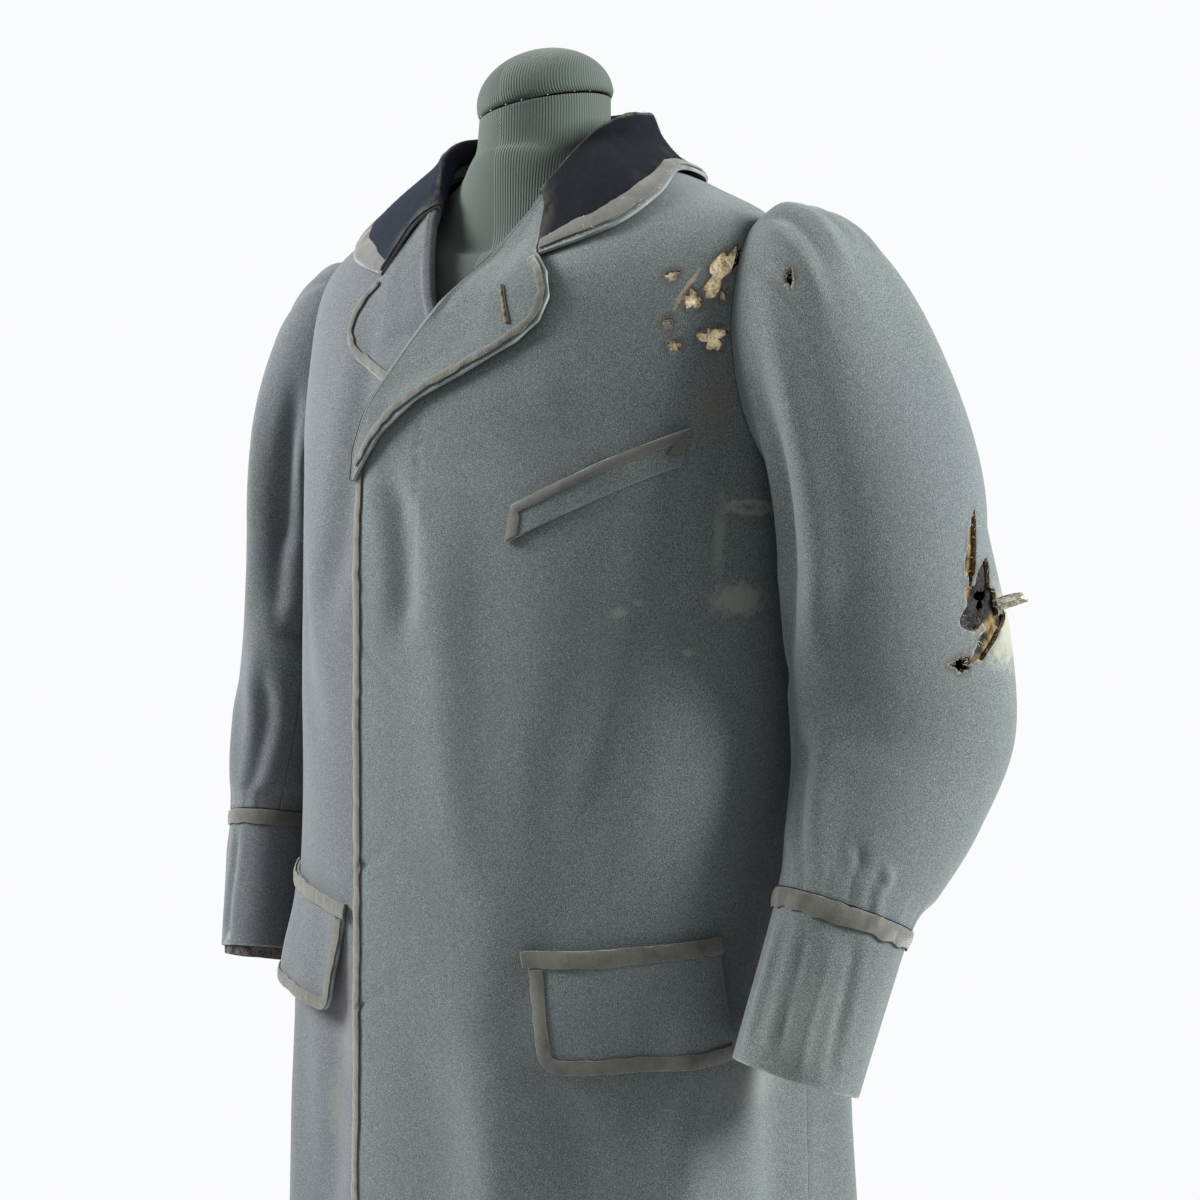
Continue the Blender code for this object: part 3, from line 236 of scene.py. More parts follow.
@dataclass(frozen=True)
class BodySurface:
    """The surface that the fronts, back and everything laid on them follow.

    Theta is 0 in front and grows to the wearer's left; level is a ring number.
    The creases' flat map is theta times the girth's radius, by height.
    """

    creases: tuple[Crease, ...]

    def bare(self, theta: Array, level: Array) -> Array:
        """Return points of the surface without its creases."""
        z_front, z_side, z_back, half_width, front, back, middle_y = np.moveaxis(spline(BODY_RINGS, level), -1, 0)
        soft = np.zeros(np.broadcast(theta, level).shape)
        for angle, half_angle, fold_level, half_level, depth in BODY_FOLDS:
            turn = (theta - math.radians(angle) + math.pi) % (2 * math.pi) - math.pi
            soft = soft + depth * np.exp(-((turn / math.radians(half_angle)) ** 2)
                                         - ((level - fold_level) / half_level) ** 2)
        side, ahead = np.sin(theta), np.cos(theta)
        reach = np.where(ahead > 0, front, back) + soft
        x = (half_width + soft) * side * (1 + SQUARENESS * ahead**2)
        y = middle_y - reach * ahead * (1 + SQUARENESS * side**2)
        z = z_side + (np.where(ahead > 0, z_front, z_back) - z_side) * ahead**2
        return np.stack([x, y, z], axis=-1)

    def at(self, theta: Array, level: Array, out: Array | float = 0.0, mirrored: bool = False) -> Array:
        """Return creased points at a distance outside the surface.

        Args:
            theta: Angles round the body.
            level: Ring numbers.
            out: The distance outside.
            mirrored: Whether the points are the wearer's right side, given by its own angles.

        Returns:
            The points, mirrored where asked.
        """
        theta, level = np.broadcast_arrays(np.asarray(theta, float), np.asarray(level, float))
        step = 0.002
        points = self.bare(theta, level)
        across = self.bare(theta + step, level) - self.bare(theta - step, level)
        up = self.bare(theta, level + step) - self.bare(theta, level - step)
        turn = -theta if mirrored else (theta + math.pi) % (2 * math.pi) - math.pi
        move = np.asarray(out, float) + relief_of(self.creases, turn * BODY_GIRTH, points[..., 2])
        points = points + unit(np.cross(across, up)) * move[..., None]
        return points * np.array([-1.0, 1.0, 1.0]) if mirrored else points

    def angle_of(self, x: Array, level: Array) -> Array:
        """Return the angle at which the front of a ring reaches x."""
        half_width = spline(BODY_RINGS, level)[..., 3]
        side = np.clip(x / half_width, -0.98, 0.98)
        for _ in range(8):
            side = np.clip(x / half_width / (1 + SQUARENESS * (1 - side**2)), -0.985, 0.985)
        return np.arcsin(side)

    def level_of(self, x: Array, z: Array) -> Array:
        """Return the level at which the front surface at x reaches the height z."""
        x, z = np.broadcast_arrays(np.asarray(x, float), np.asarray(z, float))
        low, high = np.zeros(x.shape), np.full(x.shape, NECK_LEVEL + 0.4)
        for _ in range(26):
            middle = (low + high) / 2
            above = self.bare(self.angle_of(x, middle), middle)[..., 2] > z
            high, low = np.where(above, middle, high), np.where(above, low, middle)
        return (low + high) / 2

    def overlap(self, x: Array, level: Array) -> Array:
        """Return how far the left front rides above the right one that it covers."""
        across = 1 - smoothstep(0.069, 0.180, x)
        chest, neck = smoothstep(5.2, 5.9, level), 1 - smoothstep(7.0, 8.0, level)
        return across * neck * (0.0058 + 0.0064 * chest)

    def front(self, side: Side, theta: Array, level: Array, out: Array | float = 0.0) -> Array:
        """Return points on a front by its own angles and levels."""
        theta, level = np.broadcast_arrays(np.asarray(theta, float), np.asarray(level, float))
        lift = self.overlap(self.bare(theta, level)[..., 0], level) if side is Side.LEFT else 0.0
        return self.at(theta, level, np.asarray(out, float) + lift, side is Side.RIGHT)

    def plan(self, side: Side, x: Array, z: Array, out: Array | float = 0.0) -> Array:
        """Return points on a front from its elevation view, x towards the piece's own side."""
        x, z = np.broadcast_arrays(np.asarray(x, float), np.asarray(z, float))
        level = self.level_of(x, z)
        return self.front(side, self.angle_of(x, level), level, out)

    def armhole(self, phi: Array, out: float = 0.0) -> Array:
        """Return points round the left armhole: phi is 0 at the bottom and 90 degrees in front."""
        width = np.where(np.sin(phi) >= 0, ARMHOLE_FRONT, ARMHOLE_BACK)
        theta = math.pi / 2 - width * np.sin(phi)
        plain = BodySurface(())
        return plain.at(theta, ARMHOLE_MIDDLE - ARMHOLE_HALF * np.cos(phi), out)


def roll_x(z: Array | float) -> Array:
    """Return the x of a front's edge and roll line at a height."""
    return np.interp(z, ROLL_Z, ROLL_X)


class ArmShape(NamedTuple):
    """A sleeve's rings (z, x, y, half across, half along, turn) and the fullness and rise of its head."""

    rings: tuple[tuple[float, ...], ...]
    fullness: float
    rise: float


ARMS = {
    Side.LEFT: ArmShape((
        (1.165, 0.309, 0.012, 0.066, 0.084, 20), (1.090, 0.311, 0.036, 0.060, 0.087, 33),
        (1.030, 0.312, 0.043, 0.058, 0.088, 36), (0.980, 0.3095, 0.0235, 0.0545, 0.0760, 33.5),
        (0.935, 0.3060, -0.0020, 0.0495, 0.0635, 30), (0.898, 0.303, -0.024, 0.046, 0.052, 26),
        (0.784, 0.289, -0.064, 0.044, 0.049, 22)), 0.94, 0.06),
    Side.RIGHT: ArmShape((
        (1.165, 0.300, 0.026, 0.058, 0.078, 12), (1.090, 0.306, 0.016, 0.055, 0.078, 20),
        (1.030, 0.308, 0.006, 0.054, 0.075, 24), (0.980, 0.308, -0.006, 0.052, 0.069, 25),
        (0.935, 0.306, -0.019, 0.048, 0.060, 23), (0.903, 0.304, -0.027, 0.045, 0.052, 21),
        (0.788, 0.289, -0.056, 0.043, 0.049, 19)), 0.90, -0.10),
}
ARM_FOLDS = (
    (82, 16, 0.75, 0.75, -0.0070), (112, 14, 0.95, 0.80, 0.0035), (40, 18, 1.00, 0.50, -0.0050),
    (205, 14, 0.45, 0.30, 0.0030), (300, 20, 1.60, 0.45, -0.0050), (110, 12, 3.00, 0.80, 0.0030),
    (140, 10, 5.60, 0.70, -0.0025),
)
SLEEVE_END, CUFF_START, CUFF_END = 5.92, 5.93, 7.0
ARM_GIRTH = 0.07
RING_STEP = 1.0
ARM_LENGTHS = (0.0, 0.150, 0.228, 0.288, 0.342, 0.394, 0.438, 0.560)


@dataclass(frozen=True)
class SleeveSurface:
    """The surface that a sleeve and its cuff follow.

    Phi is 0 underneath and 90 degrees in front; place is 0 at the armhole, 1 at
    the first ring and grows down the arm. The creases' flat map is phi times the
    girth's radius, by length down the arm.
    """

    side: Side
    creases: tuple[Crease, ...]

    def ring(self, phi: Array, place: Array) -> Array:
        """Return points of a ring square to the arm."""
        table = ARMS[self.side].rings
        row = spline(table, place)
        columns = [1, 2, 0]
        ahead = spline(table, np.minimum(place + 0.02, len(table) - 1))[..., columns]
        down = unit(ahead - spline(table, np.maximum(place - 0.02, 0))[..., columns])
        turn = np.radians(row[..., 5])
        forward = np.stack([-np.sin(turn), -np.cos(turn), np.zeros(turn.shape)], axis=-1)
        forward = unit(forward - down * np.sum(forward * down, axis=-1, keepdims=True))
        outward = unit(np.cross(forward, down))
        across, along = -np.cos(phi) * row[..., 3], np.sin(phi) * row[..., 4]
        return row[..., columns] + outward * across[..., None] + forward * along[..., None]

    def arm(self, phi: Array, place: Array) -> Array:
        """Return points below the sleeve's head, on smooth curves through evenly spaced rings."""
        last = int(round((CUFF_END - 1) / RING_STEP))
        low = np.clip(np.floor(place / RING_STEP), 0, last - 1)
        t = (place / RING_STEP - low)[..., None]
        before, start, end, after = (self.ring(phi, np.clip(low + k, 0, last) * RING_STEP) for k in (-1, 0, 1, 2))
        return curve(start, (end - before) * 0.5, end, (after - start) * 0.5, t)

    def bare(self, phi: Array, place: Array) -> Array:
        """Return points of the sleeve without folds, on the left side."""
        phi, place = np.broadcast_arrays(np.asarray(phi, float), np.asarray(place, float))
        shape, body = ARMS[self.side], BodySurface(())
        start = body.armhole(phi)
        normal = unit(body.armhole(phi, 0.01) - start)
        start = start + unit(body.at(math.pi / 2, ARMHOLE_MIDDLE) - start) * SEAM
        ring = self.arm(phi, np.zeros(phi.shape))
        reach = np.linalg.norm(ring - start, axis=-1, keepdims=True) * shape.fullness
        top = ((1 - np.cos(phi)) / 2)[..., None]
        leave = unit(normal + UP * (shape.rise * top - 0.5 * (1 - top)))
        t = np.clip(place, 0.0, 1.0)[..., None]
        head = curve(start, leave * reach, ring, -UP * reach, t)
        return np.where(place[..., None] < 1.0, head, self.arm(phi, np.maximum(place - 1.0, 0.0)))

    def at(self, phi: Array, place: Array, out: Array | float = 0.0) -> Array:
        """Return creased points at a distance outside the sleeve."""
        phi, place = np.broadcast_arrays(np.asarray(phi, float), np.asarray(place, float))
        step = 0.004
        across = self.bare(phi + step, place) - self.bare(phi - step, place)
        low, high = np.maximum(place - step, 0.0), np.minimum(place + step, CUFF_END)
        normal = unit(np.cross(self.bare(phi, high) - self.bare(phi, low), across))
        soft = np.zeros(phi.shape)
        for angle, half_angle, fold_place, half_length, depth in ARM_FOLDS:
            turn = (phi - math.radians(angle) + math.pi) % (2 * math.pi) - math.pi
            soft = soft + depth * np.exp(-((turn / math.radians(half_angle)) ** 2)
                                         - ((place - fold_place) / half_length) ** 2)
        around = (phi % (2 * math.pi)) * ARM_GIRTH
        length = np.interp(place, np.arange(8), ARM_LENGTHS)
        girth = 2 * math.pi * ARM_GIRTH
        creased = sum(relief_of(self.creases, around + turn * girth, length) for turn in (-1, 0, 1))
        move = np.asarray(out, float) + soft * smoothstep(0.0, 0.3, place) + creased * smoothstep(0.0, 0.08, place)
        points = self.bare(phi, place) + normal * move[..., None]
        return points * np.array([self.side.value, 1.0, 1.0])


class Value:
    """A shader socket, or a number, that takes part in Python expressions."""

    def __init__(self, paint: "Paint", link: Any) -> None:
        """Wrap an output socket of a paint's node tree."""
        self.paint = paint
        self.link = link

    def _math(self, operation: str, first: Any, second: Any = 0.0) -> "Value":
        """Add a Math node on one or two values and return its result."""
        return self.paint.node("ShaderNodeMath", {"operation": operation}, {0: first, 1: second})

    def __add__(self, other: Any) -> "Value":
        """Return the sum."""
        return self._math("ADD", self, other)

    def __radd__(self, other: Any) -> "Value":
        """Return the sum, reflected."""
        return self._math("ADD", other, self)

    def __sub__(self, other: Any) -> "Value":
        """Return the difference."""
        return self._math("SUBTRACT", self, other)

    def __rsub__(self, other: Any) -> "Value":
        """Return the difference, reflected."""
        return self._math("SUBTRACT", other, self)

    def __mul__(self, other: Any) -> "Value":
        """Return the product."""
        return self._math("MULTIPLY", self, other)

    def __rmul__(self, other: Any) -> "Value":
        """Return the product, reflected."""
        return self._math("MULTIPLY", other, self)

    def above(self, low: float, high: float) -> "Value":
        """Return a smooth rise from 0 at low to 1 at high."""
        settings = {"interpolation_type": "SMOOTHSTEP", "clamp": True}
        return self.paint.node("ShaderNodeMapRange", settings, {0: self, 1: low, 2: high, 3: 0.0, 4: 1.0})

    def below(self, low: float, high: float) -> "Value":
        """Return a smooth fall from 1 at low to 0 at high."""
        return 1.0 - self.above(low, high)


class Paint:
    """A Principled material under construction."""

    def __init__(self, name: str) -> None:
        """Start a material with an empty Principled shader."""
        self.material = bpy.data.materials.new(name)
        self.material.use_nodes = True
        self.tree = self.material.node_tree
        self.shader = self.tree.nodes["Principled BSDF"]

    def node(self, kind: str, settings: dict[str, Any], values: dict[int | str, Any],
             output: int | str = 0) -> Value:
        """Add a node: its settings first, then its inputs.

        Args:
            kind: The node's type.
            settings: Its properties.
            values: Its inputs by number or name, as numbers, colours or values.
            output: The output to return.

        Returns:
            The chosen output.
        """
        made = self.tree.nodes.new(kind)
        for key, value in settings.items():
            setattr(made, key, value)
        for key, value in values.items():
            socket = made.inputs[key]
            if isinstance(value, Value):
                self.tree.links.new(value.link, socket)
            elif isinstance(value, tuple) and len(value) == 3 and socket.type == "RGBA":
                socket.default_value = (*value, 1.0)
            else:
                socket.default_value = value
        return Value(self, made.outputs[output])

    def place(self) -> Value:
        """Return the Object coordinates."""
        return self.node("ShaderNodeTexCoord", {}, {}, "Object")

    def map(self, name: str = "cloth") -> Value:
        """Return the piece's own UV map, in metres."""
        return self.node("ShaderNodeUVMap", {"uv_map": name}, {})

    def scaled(self, vector: Value, scale: tuple[float, float, float], turn: float = 0.0) -> Value:
        """Return a vector stretched and turned about Z."""
        return self.node("ShaderNodeMapping", {}, {0: vector, 2: (0.0, 0.0, turn), 3: scale})

    def clouds(self, vector: Value, scale: float, detail: float = 2.0, rough: float = 0.5) -> Value:
        """Return noise of about 0 to 1."""
        values = {"Vector": vector, "Scale": scale, "Detail": detail, "Roughness": rough}
        return self.node("ShaderNodeTexNoise", {}, values)

    def blend(self, factor: Value | float, first: Any, second: Any) -> Value:
        """Return a mix of two colours."""
        return self.node("ShaderNodeMix", {"data_type": "RGBA"}, {0: factor, 6: first, 7: second}, 2)

    def attribute(self, name: str) -> Value:
        """Return a number that the mesh carries at each point."""
        return self.node("ShaderNodeAttribute", {"attribute_name": name}, {}, "Fac")

    def raise_by(self, height: Value, distance: float, strength: float = 1.0) -> Value:
        """Return the normal raised by a height field."""
        return self.node("ShaderNodeBump", {}, {"Height": height, "Distance": distance, "Strength": strength})

    def finish(self, colour: Any, roughness: Any, normal: Value | None = None,
               **constants: Any) -> bpy.types.Material:
        """Connect the shader and return the material.

        Args:
            colour: The base colour.
            roughness: The roughness.
            normal: The raised normal, if any.
            constants: Other shader sockets by name, with _ for a space.

        Returns:
            The finished material.
        """
        for key, value in (("Base Color", colour), ("Roughness", roughness), ("Normal", normal)):
            if isinstance(value, Value):
                self.tree.links.new(value.link, self.shader.inputs[key])
            elif value is not None:
                self.shader.inputs[key].default_value = (*value, 1.0) if isinstance(value, tuple) else value
        for key, value in constants.items():
            socket = self.shader.inputs[key.replace("_", " ")]
            socket.default_value = (*value, 1.0) if isinstance(value, tuple) else value
        return self.material


@dataclass(frozen=True)
class Stain:
    """A mark on the cloth: an ellipsoid round a point, whole or only its outline."""

    centre: tuple[float, float, float]
    radii: tuple[float, float, float]
    colour: Colour
    strength: float
    soft: float = 0.35
    outline: bool = False
    turn: tuple[float, float, float] = (0.0, 0.0, 0.0)

    def mask(self, paint: Paint, place: Value, ragged: Value) -> Value:
        """Return how strongly the stain covers each point."""
        values = {0: place, 1: self.centre, 2: self.turn, 3: self.radii}
        inside = paint.node("ShaderNodeMapping", {"vector_type": "TEXTURE"}, values)
        reach = paint.node("ShaderNodeVectorMath", {"operation": "LENGTH"}, {0: inside}, "Value")
        reach = reach + (ragged - 0.5) * 1.8
        cover = reach.below(1.0 - self.soft, 1.0 + self.soft)
        if self.outline:
            cover = cover * reach.above(0.55 - self.soft, 0.75)
        return cover * self.strength


@dataclass(frozen=True)
class Wool:
    """Thick milled wool: a fine pepper of pale and dark hairs, worn and stained."""

    name: str
    deep: Colour = (0.017, 0.0215, 0.0225)
    pale: Colour = (0.069, 0.081, 0.080)
    cast: Colour = (0.035, 0.039, 0.047)
    cast_share: float = 0.30
    worn: Colour = (0.135, 0.145, 0.138)
    stains: tuple[Stain, ...] = ()

    def build(self) -> bpy.types.Material:
        """Return the cloth's material."""
        paint = Paint(self.name)
        place = paint.place()
        hair = paint.clouds(paint.scaled(place, (1.0, 1.0, 0.6)), 1700.0, 2.0, 0.65)
        twill = paint.clouds(paint.scaled(place, (1.0, 1.0, 2.2)), 1100.0, 1.0)
        fleck = paint.clouds(place, 1300.0, 0.0).above(0.66, 0.78)
        lumps = paint.clouds(place, 85.0, 2.0)
        broad = paint.clouds(place, 7.0, 3.0, 0.6)
        speck = (hair * 0.62 + twill * 0.38).above(0.38, 0.62)
        colour = paint.blend(speck, self.deep, self.pale)
        colour = paint.blend((broad.above(0.38, 0.66)) * self.cast_share, colour, self.cast)
        colour = paint.blend(fleck * 0.25, colour, (0.24, 0.25, 0.22))
        colour = paint.blend(paint.attribute("wear").above(0.0, 1.0) * 0.75, colour, self.worn)
        ragged = paint.clouds(place, 160.0, 3.0, 0.65)
        for stain in self.stains:
            colour = paint.blend(stain.mask(paint, place, ragged), colour, stain.colour)
        colour = paint.blend(paint.attribute("char").above(0.0, 1.0) * 0.85, colour, (0.030, 0.022, 0.014))
        height = hair * 0.6 + twill * 0.3 + lumps * 1.4
        normal = paint.raise_by(height, 0.0005, 0.55)
        return paint.finish(colour, 0.95, normal, Sheen_Weight=0.10, Sheen_Roughness=0.5,
                            Sheen_Tint=(0.75, 0.80, 0.85), Specular_IOR_Level=0.12)


@dataclass(frozen=True)
class Braid:
    """Flat ribbed braid, faded brown-green, darker where it is torn."""

    name: str
    deep: Colour = (0.013, 0.012, 0.009)
    pale: Colour = (0.058, 0.060, 0.050)
    rib: float = 0.0011

    def build(self) -> bpy.types.Material:
        """Return the braid's material, with ribs that slant across its own map."""
        paint = Paint(self.name)
        along = paint.map()
        slanted = paint.scaled(along, (1.0 / self.rib, 1.0 / self.rib, 1.0), math.radians(35))
        settings = {"wave_type": "BANDS", "bands_direction": "X"}
        ribs = paint.node("ShaderNodeTexWave", settings, {"Vector": slanted, "Scale": 0.32, "Distortion": 1.2,
                                                          "Detail": 2.0, "Detail Scale": 1.5}, "Fac")
        place = paint.place()
        fibre = paint.clouds(place, 1500.0, 2.0, 0.6)
        patch = paint.clouds(place, 70.0, 3.0, 0.6)
        colour = paint.blend(ribs * 0.45 + fibre * 0.5, self.deep, self.pale)
        colour = paint.blend(patch.above(0.45, 0.7) * 0.6, colour, self.deep)
        colour = paint.blend(paint.attribute("wear").above(0.0, 1.0) * 0.5, colour, (0.12, 0.125, 0.11))
        normal = paint.raise_by(ribs * 0.6 + fibre * 0.5 + patch, 0.0005, 0.8)
        return paint.finish(colour, 0.9, normal, Sheen_Weight=0.2, Specular_IOR_Level=0.2)


@dataclass(frozen=True)
class Velvet:
    """Dark cut velvet, its pile worn off at the edges, and paler and bluer where marked: partly faded pile, partly
    painted sheen.
    """

    name: str
    deep: Colour = (0.0010, 0.0014, 0.0026)
    faded: Colour = (0.0050, 0.0080, 0.0140)

    def build(self) -> bpy.types.Material:
        """Return the velvet's material."""
        paint = Paint(self.name)
        place = paint.place()
        pile = paint.clouds(place, 1400.0, 2.0, 0.7)
        crush = paint.clouds(paint.scaled(place, (1.0, 1.0, 0.4)), 90.0, 3.0, 0.65)
        colour = paint.blend(crush.above(0.45, 0.75) * 0.5, self.deep, (0.0035, 0.0048, 0.0100))
        # Paler and bluer where marked: partly faded pile, partly painted sheen.
        colour = paint.blend(paint.attribute("fade").above(0.0, 1.0), colour, self.faded)
        worn = paint.attribute("wear").above(0.15, 0.9) * crush.above(0.30, 0.55)
        colour = paint.blend(worn * 0.60, colour, (0.055, 0.052, 0.045))
        colour = paint.blend(pile.above(0.62, 0.76) * 0.30, colour, (0.07, 0.085, 0.10))
        normal = paint.raise_by(pile + crush * 0.8, 0.0008, 0.9)
        return paint.finish(colour, 0.9, normal, Sheen_Weight=0.02, Sheen_Roughness=0.4,
                            Sheen_Tint=(0.35, 0.45, 0.60), Specular_IOR_Level=0.05)


@dataclass(frozen=True)
class Jersey:
    """Ribbed knit over the dress form."""

    name: str
    deep: Colour = (0.012, 0.017, 0.014)
    pale: Colour = (0.040, 0.053, 0.046)
    pitch: float = 0.0024

    def build(self) -> bpy.types.Material:
        """Return the jersey's material, its ribs along its own map."""
        paint = Paint(self.name)
        along = paint.scaled(paint.map(), (1.0 / self.pitch, 1.0 / self.pitch, 1.0))
        settings = {"wave_type": "BANDS", "bands_direction": "X"}
        ribs = paint.node("ShaderNodeTexWave", settings, {"Vector": along, "Scale": 0.31416, "Distortion": 0.4},
                          "Fac")
        knit = paint.clouds(paint.scaled(paint.map(), (700.0, 1100.0, 1.0)), 1.0, 1.0)
        place = paint.place()
        fluff = paint.clouds(place, 1300.0, 2.0, 0.7)
        colour = paint.blend(ribs * 0.35 + knit * 0.3 + fluff * 0.3, self.deep, self.pale)
        colour = paint.blend(fluff.above(0.70, 0.80) * 0.25, colour, (0.20, 0.22, 0.19))
        normal = paint.raise_by(ribs + knit * 0.5 + fluff * 0.4, 0.0005, 0.7)
        return paint.finish(colour, 0.9, normal, Sheen_Weight=0.08, Specular_IOR_Level=0.15)


@dataclass(frozen=True)
class Fluff:
    """Loose fibre or thin torn lining."""

    name: str
    deep: Colour
    pale: Colour
    scale: float = 420.0
    gold: Colour = (0.105, 0.072, 0.028)

    def build(self) -> bpy.types.Material:
        """Return the fibre's material."""
        paint = Paint(self.name)
        place = paint.place()
        tuft = paint.clouds(place, self.scale, 4.0, 0.7)
        patch = paint.clouds(place, self.scale * 0.22, 2.0)
        colour = paint.blend((tuft * 0.6 + patch * 0.4).above(0.38, 0.60), self.deep, self.pale)
        colour = paint.blend(paint.attribute("gold").above(0.1, 0.6) * tuft.above(0.25, 0.5), colour, self.gold)
        normal = paint.raise_by(tuft, 0.0010, 0.8)
        return paint.finish(colour, 0.95, normal, Specular_IOR_Level=0.05)


@dataclass(frozen=True)
class Plain:
    """A smooth paint or a studio surface, with a faint grain."""

    name: str
    colour: Colour
    roughness: float = 0.5
    metallic: float = 0.0
    grain: float = 60.0

    def build(self) -> bpy.types.Material:
        """Return the material."""
        paint = Paint(self.name)
        grain = paint.clouds(paint.place(), self.grain, 3.0)
        darker = tuple(c * 0.86 for c in self.colour)
        colour = paint.blend(grain, darker, self.colour)
        return paint.finish(colour, self.roughness, None, Metallic=self.metallic)


BROWN = (0.060, 0.045, 0.030)
CHALK = (0.100, 0.104, 0.092)
DUST = (0.070, 0.072, 0.064)
FRONT_STAINS = (
    Stain((0.211, -0.045, 1.272), (0.009, 0.030, 0.034), BROWN, 0.35, 0.45),
    Stain((0.2235, -0.030, 1.196), (0.014, 0.030, 0.006), CHALK, 0.75, 0.25, True),
    Stain((0.2165, -0.050, 1.172), (0.0022, 0.020, 0.034), CHALK, 0.55, 0.50),
    Stain((0.2300, -0.015, 1.176), (0.0030, 0.010, 0.022), CHALK, 0.60, 0.40),
    Stain((0.2275, -0.020, 1.160), (0.0018, 0.008, 0.016), CHALK, 0.50, 0.40),
    Stain((0.2210, -0.045, 1.128), (0.013, 0.024, 0.011), CHALK, 0.75, 0.40),
    Stain((0.165, -0.115, 1.119), (0.0040, 0.020, 0.0035), CHALK, 0.45, 0.45),
    Stain((0.176, -0.110, 1.126), (0.0030, 0.020, 0.0025), CHALK, 0.35, 0.45),
    Stain((0.205, -0.075, 1.090), (0.0026, 0.020, 0.0026), CHALK, 0.55, 0.35),
    Stain((0.232, -0.030, 0.760), (0.012, 0.030, 0.016), CHALK, 0.30, 0.60),
    Stain((0.214, -0.060, 0.772), (0.008, 0.030, 0.012), CHALK, 0.25, 0.60),
    Stain((0.196, -0.080, 1.356), (0.0015, 0.020, 0.016), (0.20, 0.16, 0.09), 0.5, 0.4, False, (0.0, 0.35, 0.0)),
)
RIGHT_STAINS = (
    Stain((-0.085, -0.175, 0.760), (0.020, 0.040, 0.030), DUST, 0.55, 0.60),
    Stain((-0.110, -0.165, 0.700), (0.014, 0.040, 0.030), DUST, 0.45, 0.60),
    Stain((-0.295, -0.110, 0.806), (0.0045, 0.020, 0.0045), CHALK, 0.60, 0.35),
    Stain((-0.300, -0.105, 0.800), (0.0030, 0.020, 0.0030), CHALK, 0.50, 0.35),
)
SLEEVE_STAINS = (
    Stain((0.372, 0.075, 1.108), (0.026, 0.034, 0.026), (0.150, 0.152, 0.112), 0.60, 0.60),
    Stain((0.310, -0.090, 0.830), (0.030, 0.040, 0.030), DUST, 0.22, 0.60),
)


FINISHES: dict[str, bpy.types.Material] = {}


def build_finishes() -> None:
    """Build every material once, by name."""
    for finish in (
        Wool("front_wool", stains=FRONT_STAINS),
        # The right side's wool is a darker, bluer copy of the same cloth: painted shade on that side of the coat.
        Wool("right_wool", deep=(0.016, 0.0185, 0.0205), pale=(0.061, 0.068, 0.072), cast=(0.033, 0.034, 0.043),
             stains=RIGHT_STAINS),
        Wool("sleeve_wool", stains=SLEEVE_STAINS),
        Wool("coat_wool"),
        Braid("edge_braid"),
        Velvet("collar_velvet"),
        Jersey("form_jersey"),
        Fluff("chest_wadding", (0.24, 0.15, 0.05), (0.74, 0.64, 0.42)),
        # The elbow lining painted near black: painted shade inside the sleeve, while the flap torn from it is cream.
        Fluff("torn_lining", (0.002, 0.002, 0.0023), (0.016, 0.0155, 0.0145)),
        Fluff("cream_lining", (0.120, 0.115, 0.090), (0.420, 0.410, 0.340)),
        Fluff("dark_lining", (0.010, 0.010, 0.011), (0.050, 0.046, 0.042)),
        Fluff("frayed_edge", (0.018, 0.012, 0.008), (0.120, 0.080, 0.045)),
        Fluff("pale_thread", (0.42, 0.40, 0.34), (0.78, 0.76, 0.70)),
        Plain("stand_paint", (0.018, 0.018, 0.019), 0.35, 0.0),
        Plain("pin_metal", (0.85, 0.86, 0.88), 0.3, 1.0),
        Plain("pale_floor", (0.86, 0.86, 0.86), 0.7, 0.0, 4.0),
    ):
        FINISHES[finish.name] = finish.build()


def mesh_of(shape: bmesh.types.BMesh, name: str, *finishes: str) -> bpy.types.Mesh:
    """Return a mesh of a shape, with its finishes, and free the shape."""
    mesh = bpy.data.meshes.new(name)
    shape.to_mesh(mesh)
    shape.free()
    for finish in finishes:
        mesh.materials.append(FINISHES[finish])
    return mesh


def stand(name: str, data: Any) -> bpy.types.Object:
    """Return a new object that stands in the scene."""
    made = bpy.data.objects.new(name, data)
    bpy.context.scene.collection.objects.link(made)
    return made


def evaluated(piece: bpy.types.Object) -> bpy.types.Mesh:
    """Return a new mesh of a piece with its modifiers or curve settings applied."""
    bpy.context.view_layer.update()
    graph = bpy.context.evaluated_depsgraph_get()
    return bpy.data.meshes.new_from_object(piece.evaluated_get(graph))


def apply_modifiers(piece: bpy.types.Object) -> None:
    """Replace a piece's mesh by its evaluated one and clear its modifiers."""
    made = evaluated(piece)
    piece.modifiers.clear()
    piece.data = made


def filled_ring(ring: Array) -> bmesh.types.BMesh:
    """Return a shape with one flat face inside a ring of points."""
    shape = bmesh.new()
    made = bmesh.ops.create_circle(shape, cap_ends=True, segments=len(ring), radius=1.0)["verts"]
    for vertex, point in zip(made, ring):
        vertex.co = point
    return shape


def ride(piece: bpy.types.Object, slot: str, *nodes: str) -> bpy.types.Object:
    """Let a piece ride on the coat and hide the CAD nodes that it stands for."""
    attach(piece, ROOT)
    if nodes:
        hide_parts(*nodes)
    LOG.info("%s: %d faces", piece.name, len(piece.data.polygons))
    return piece


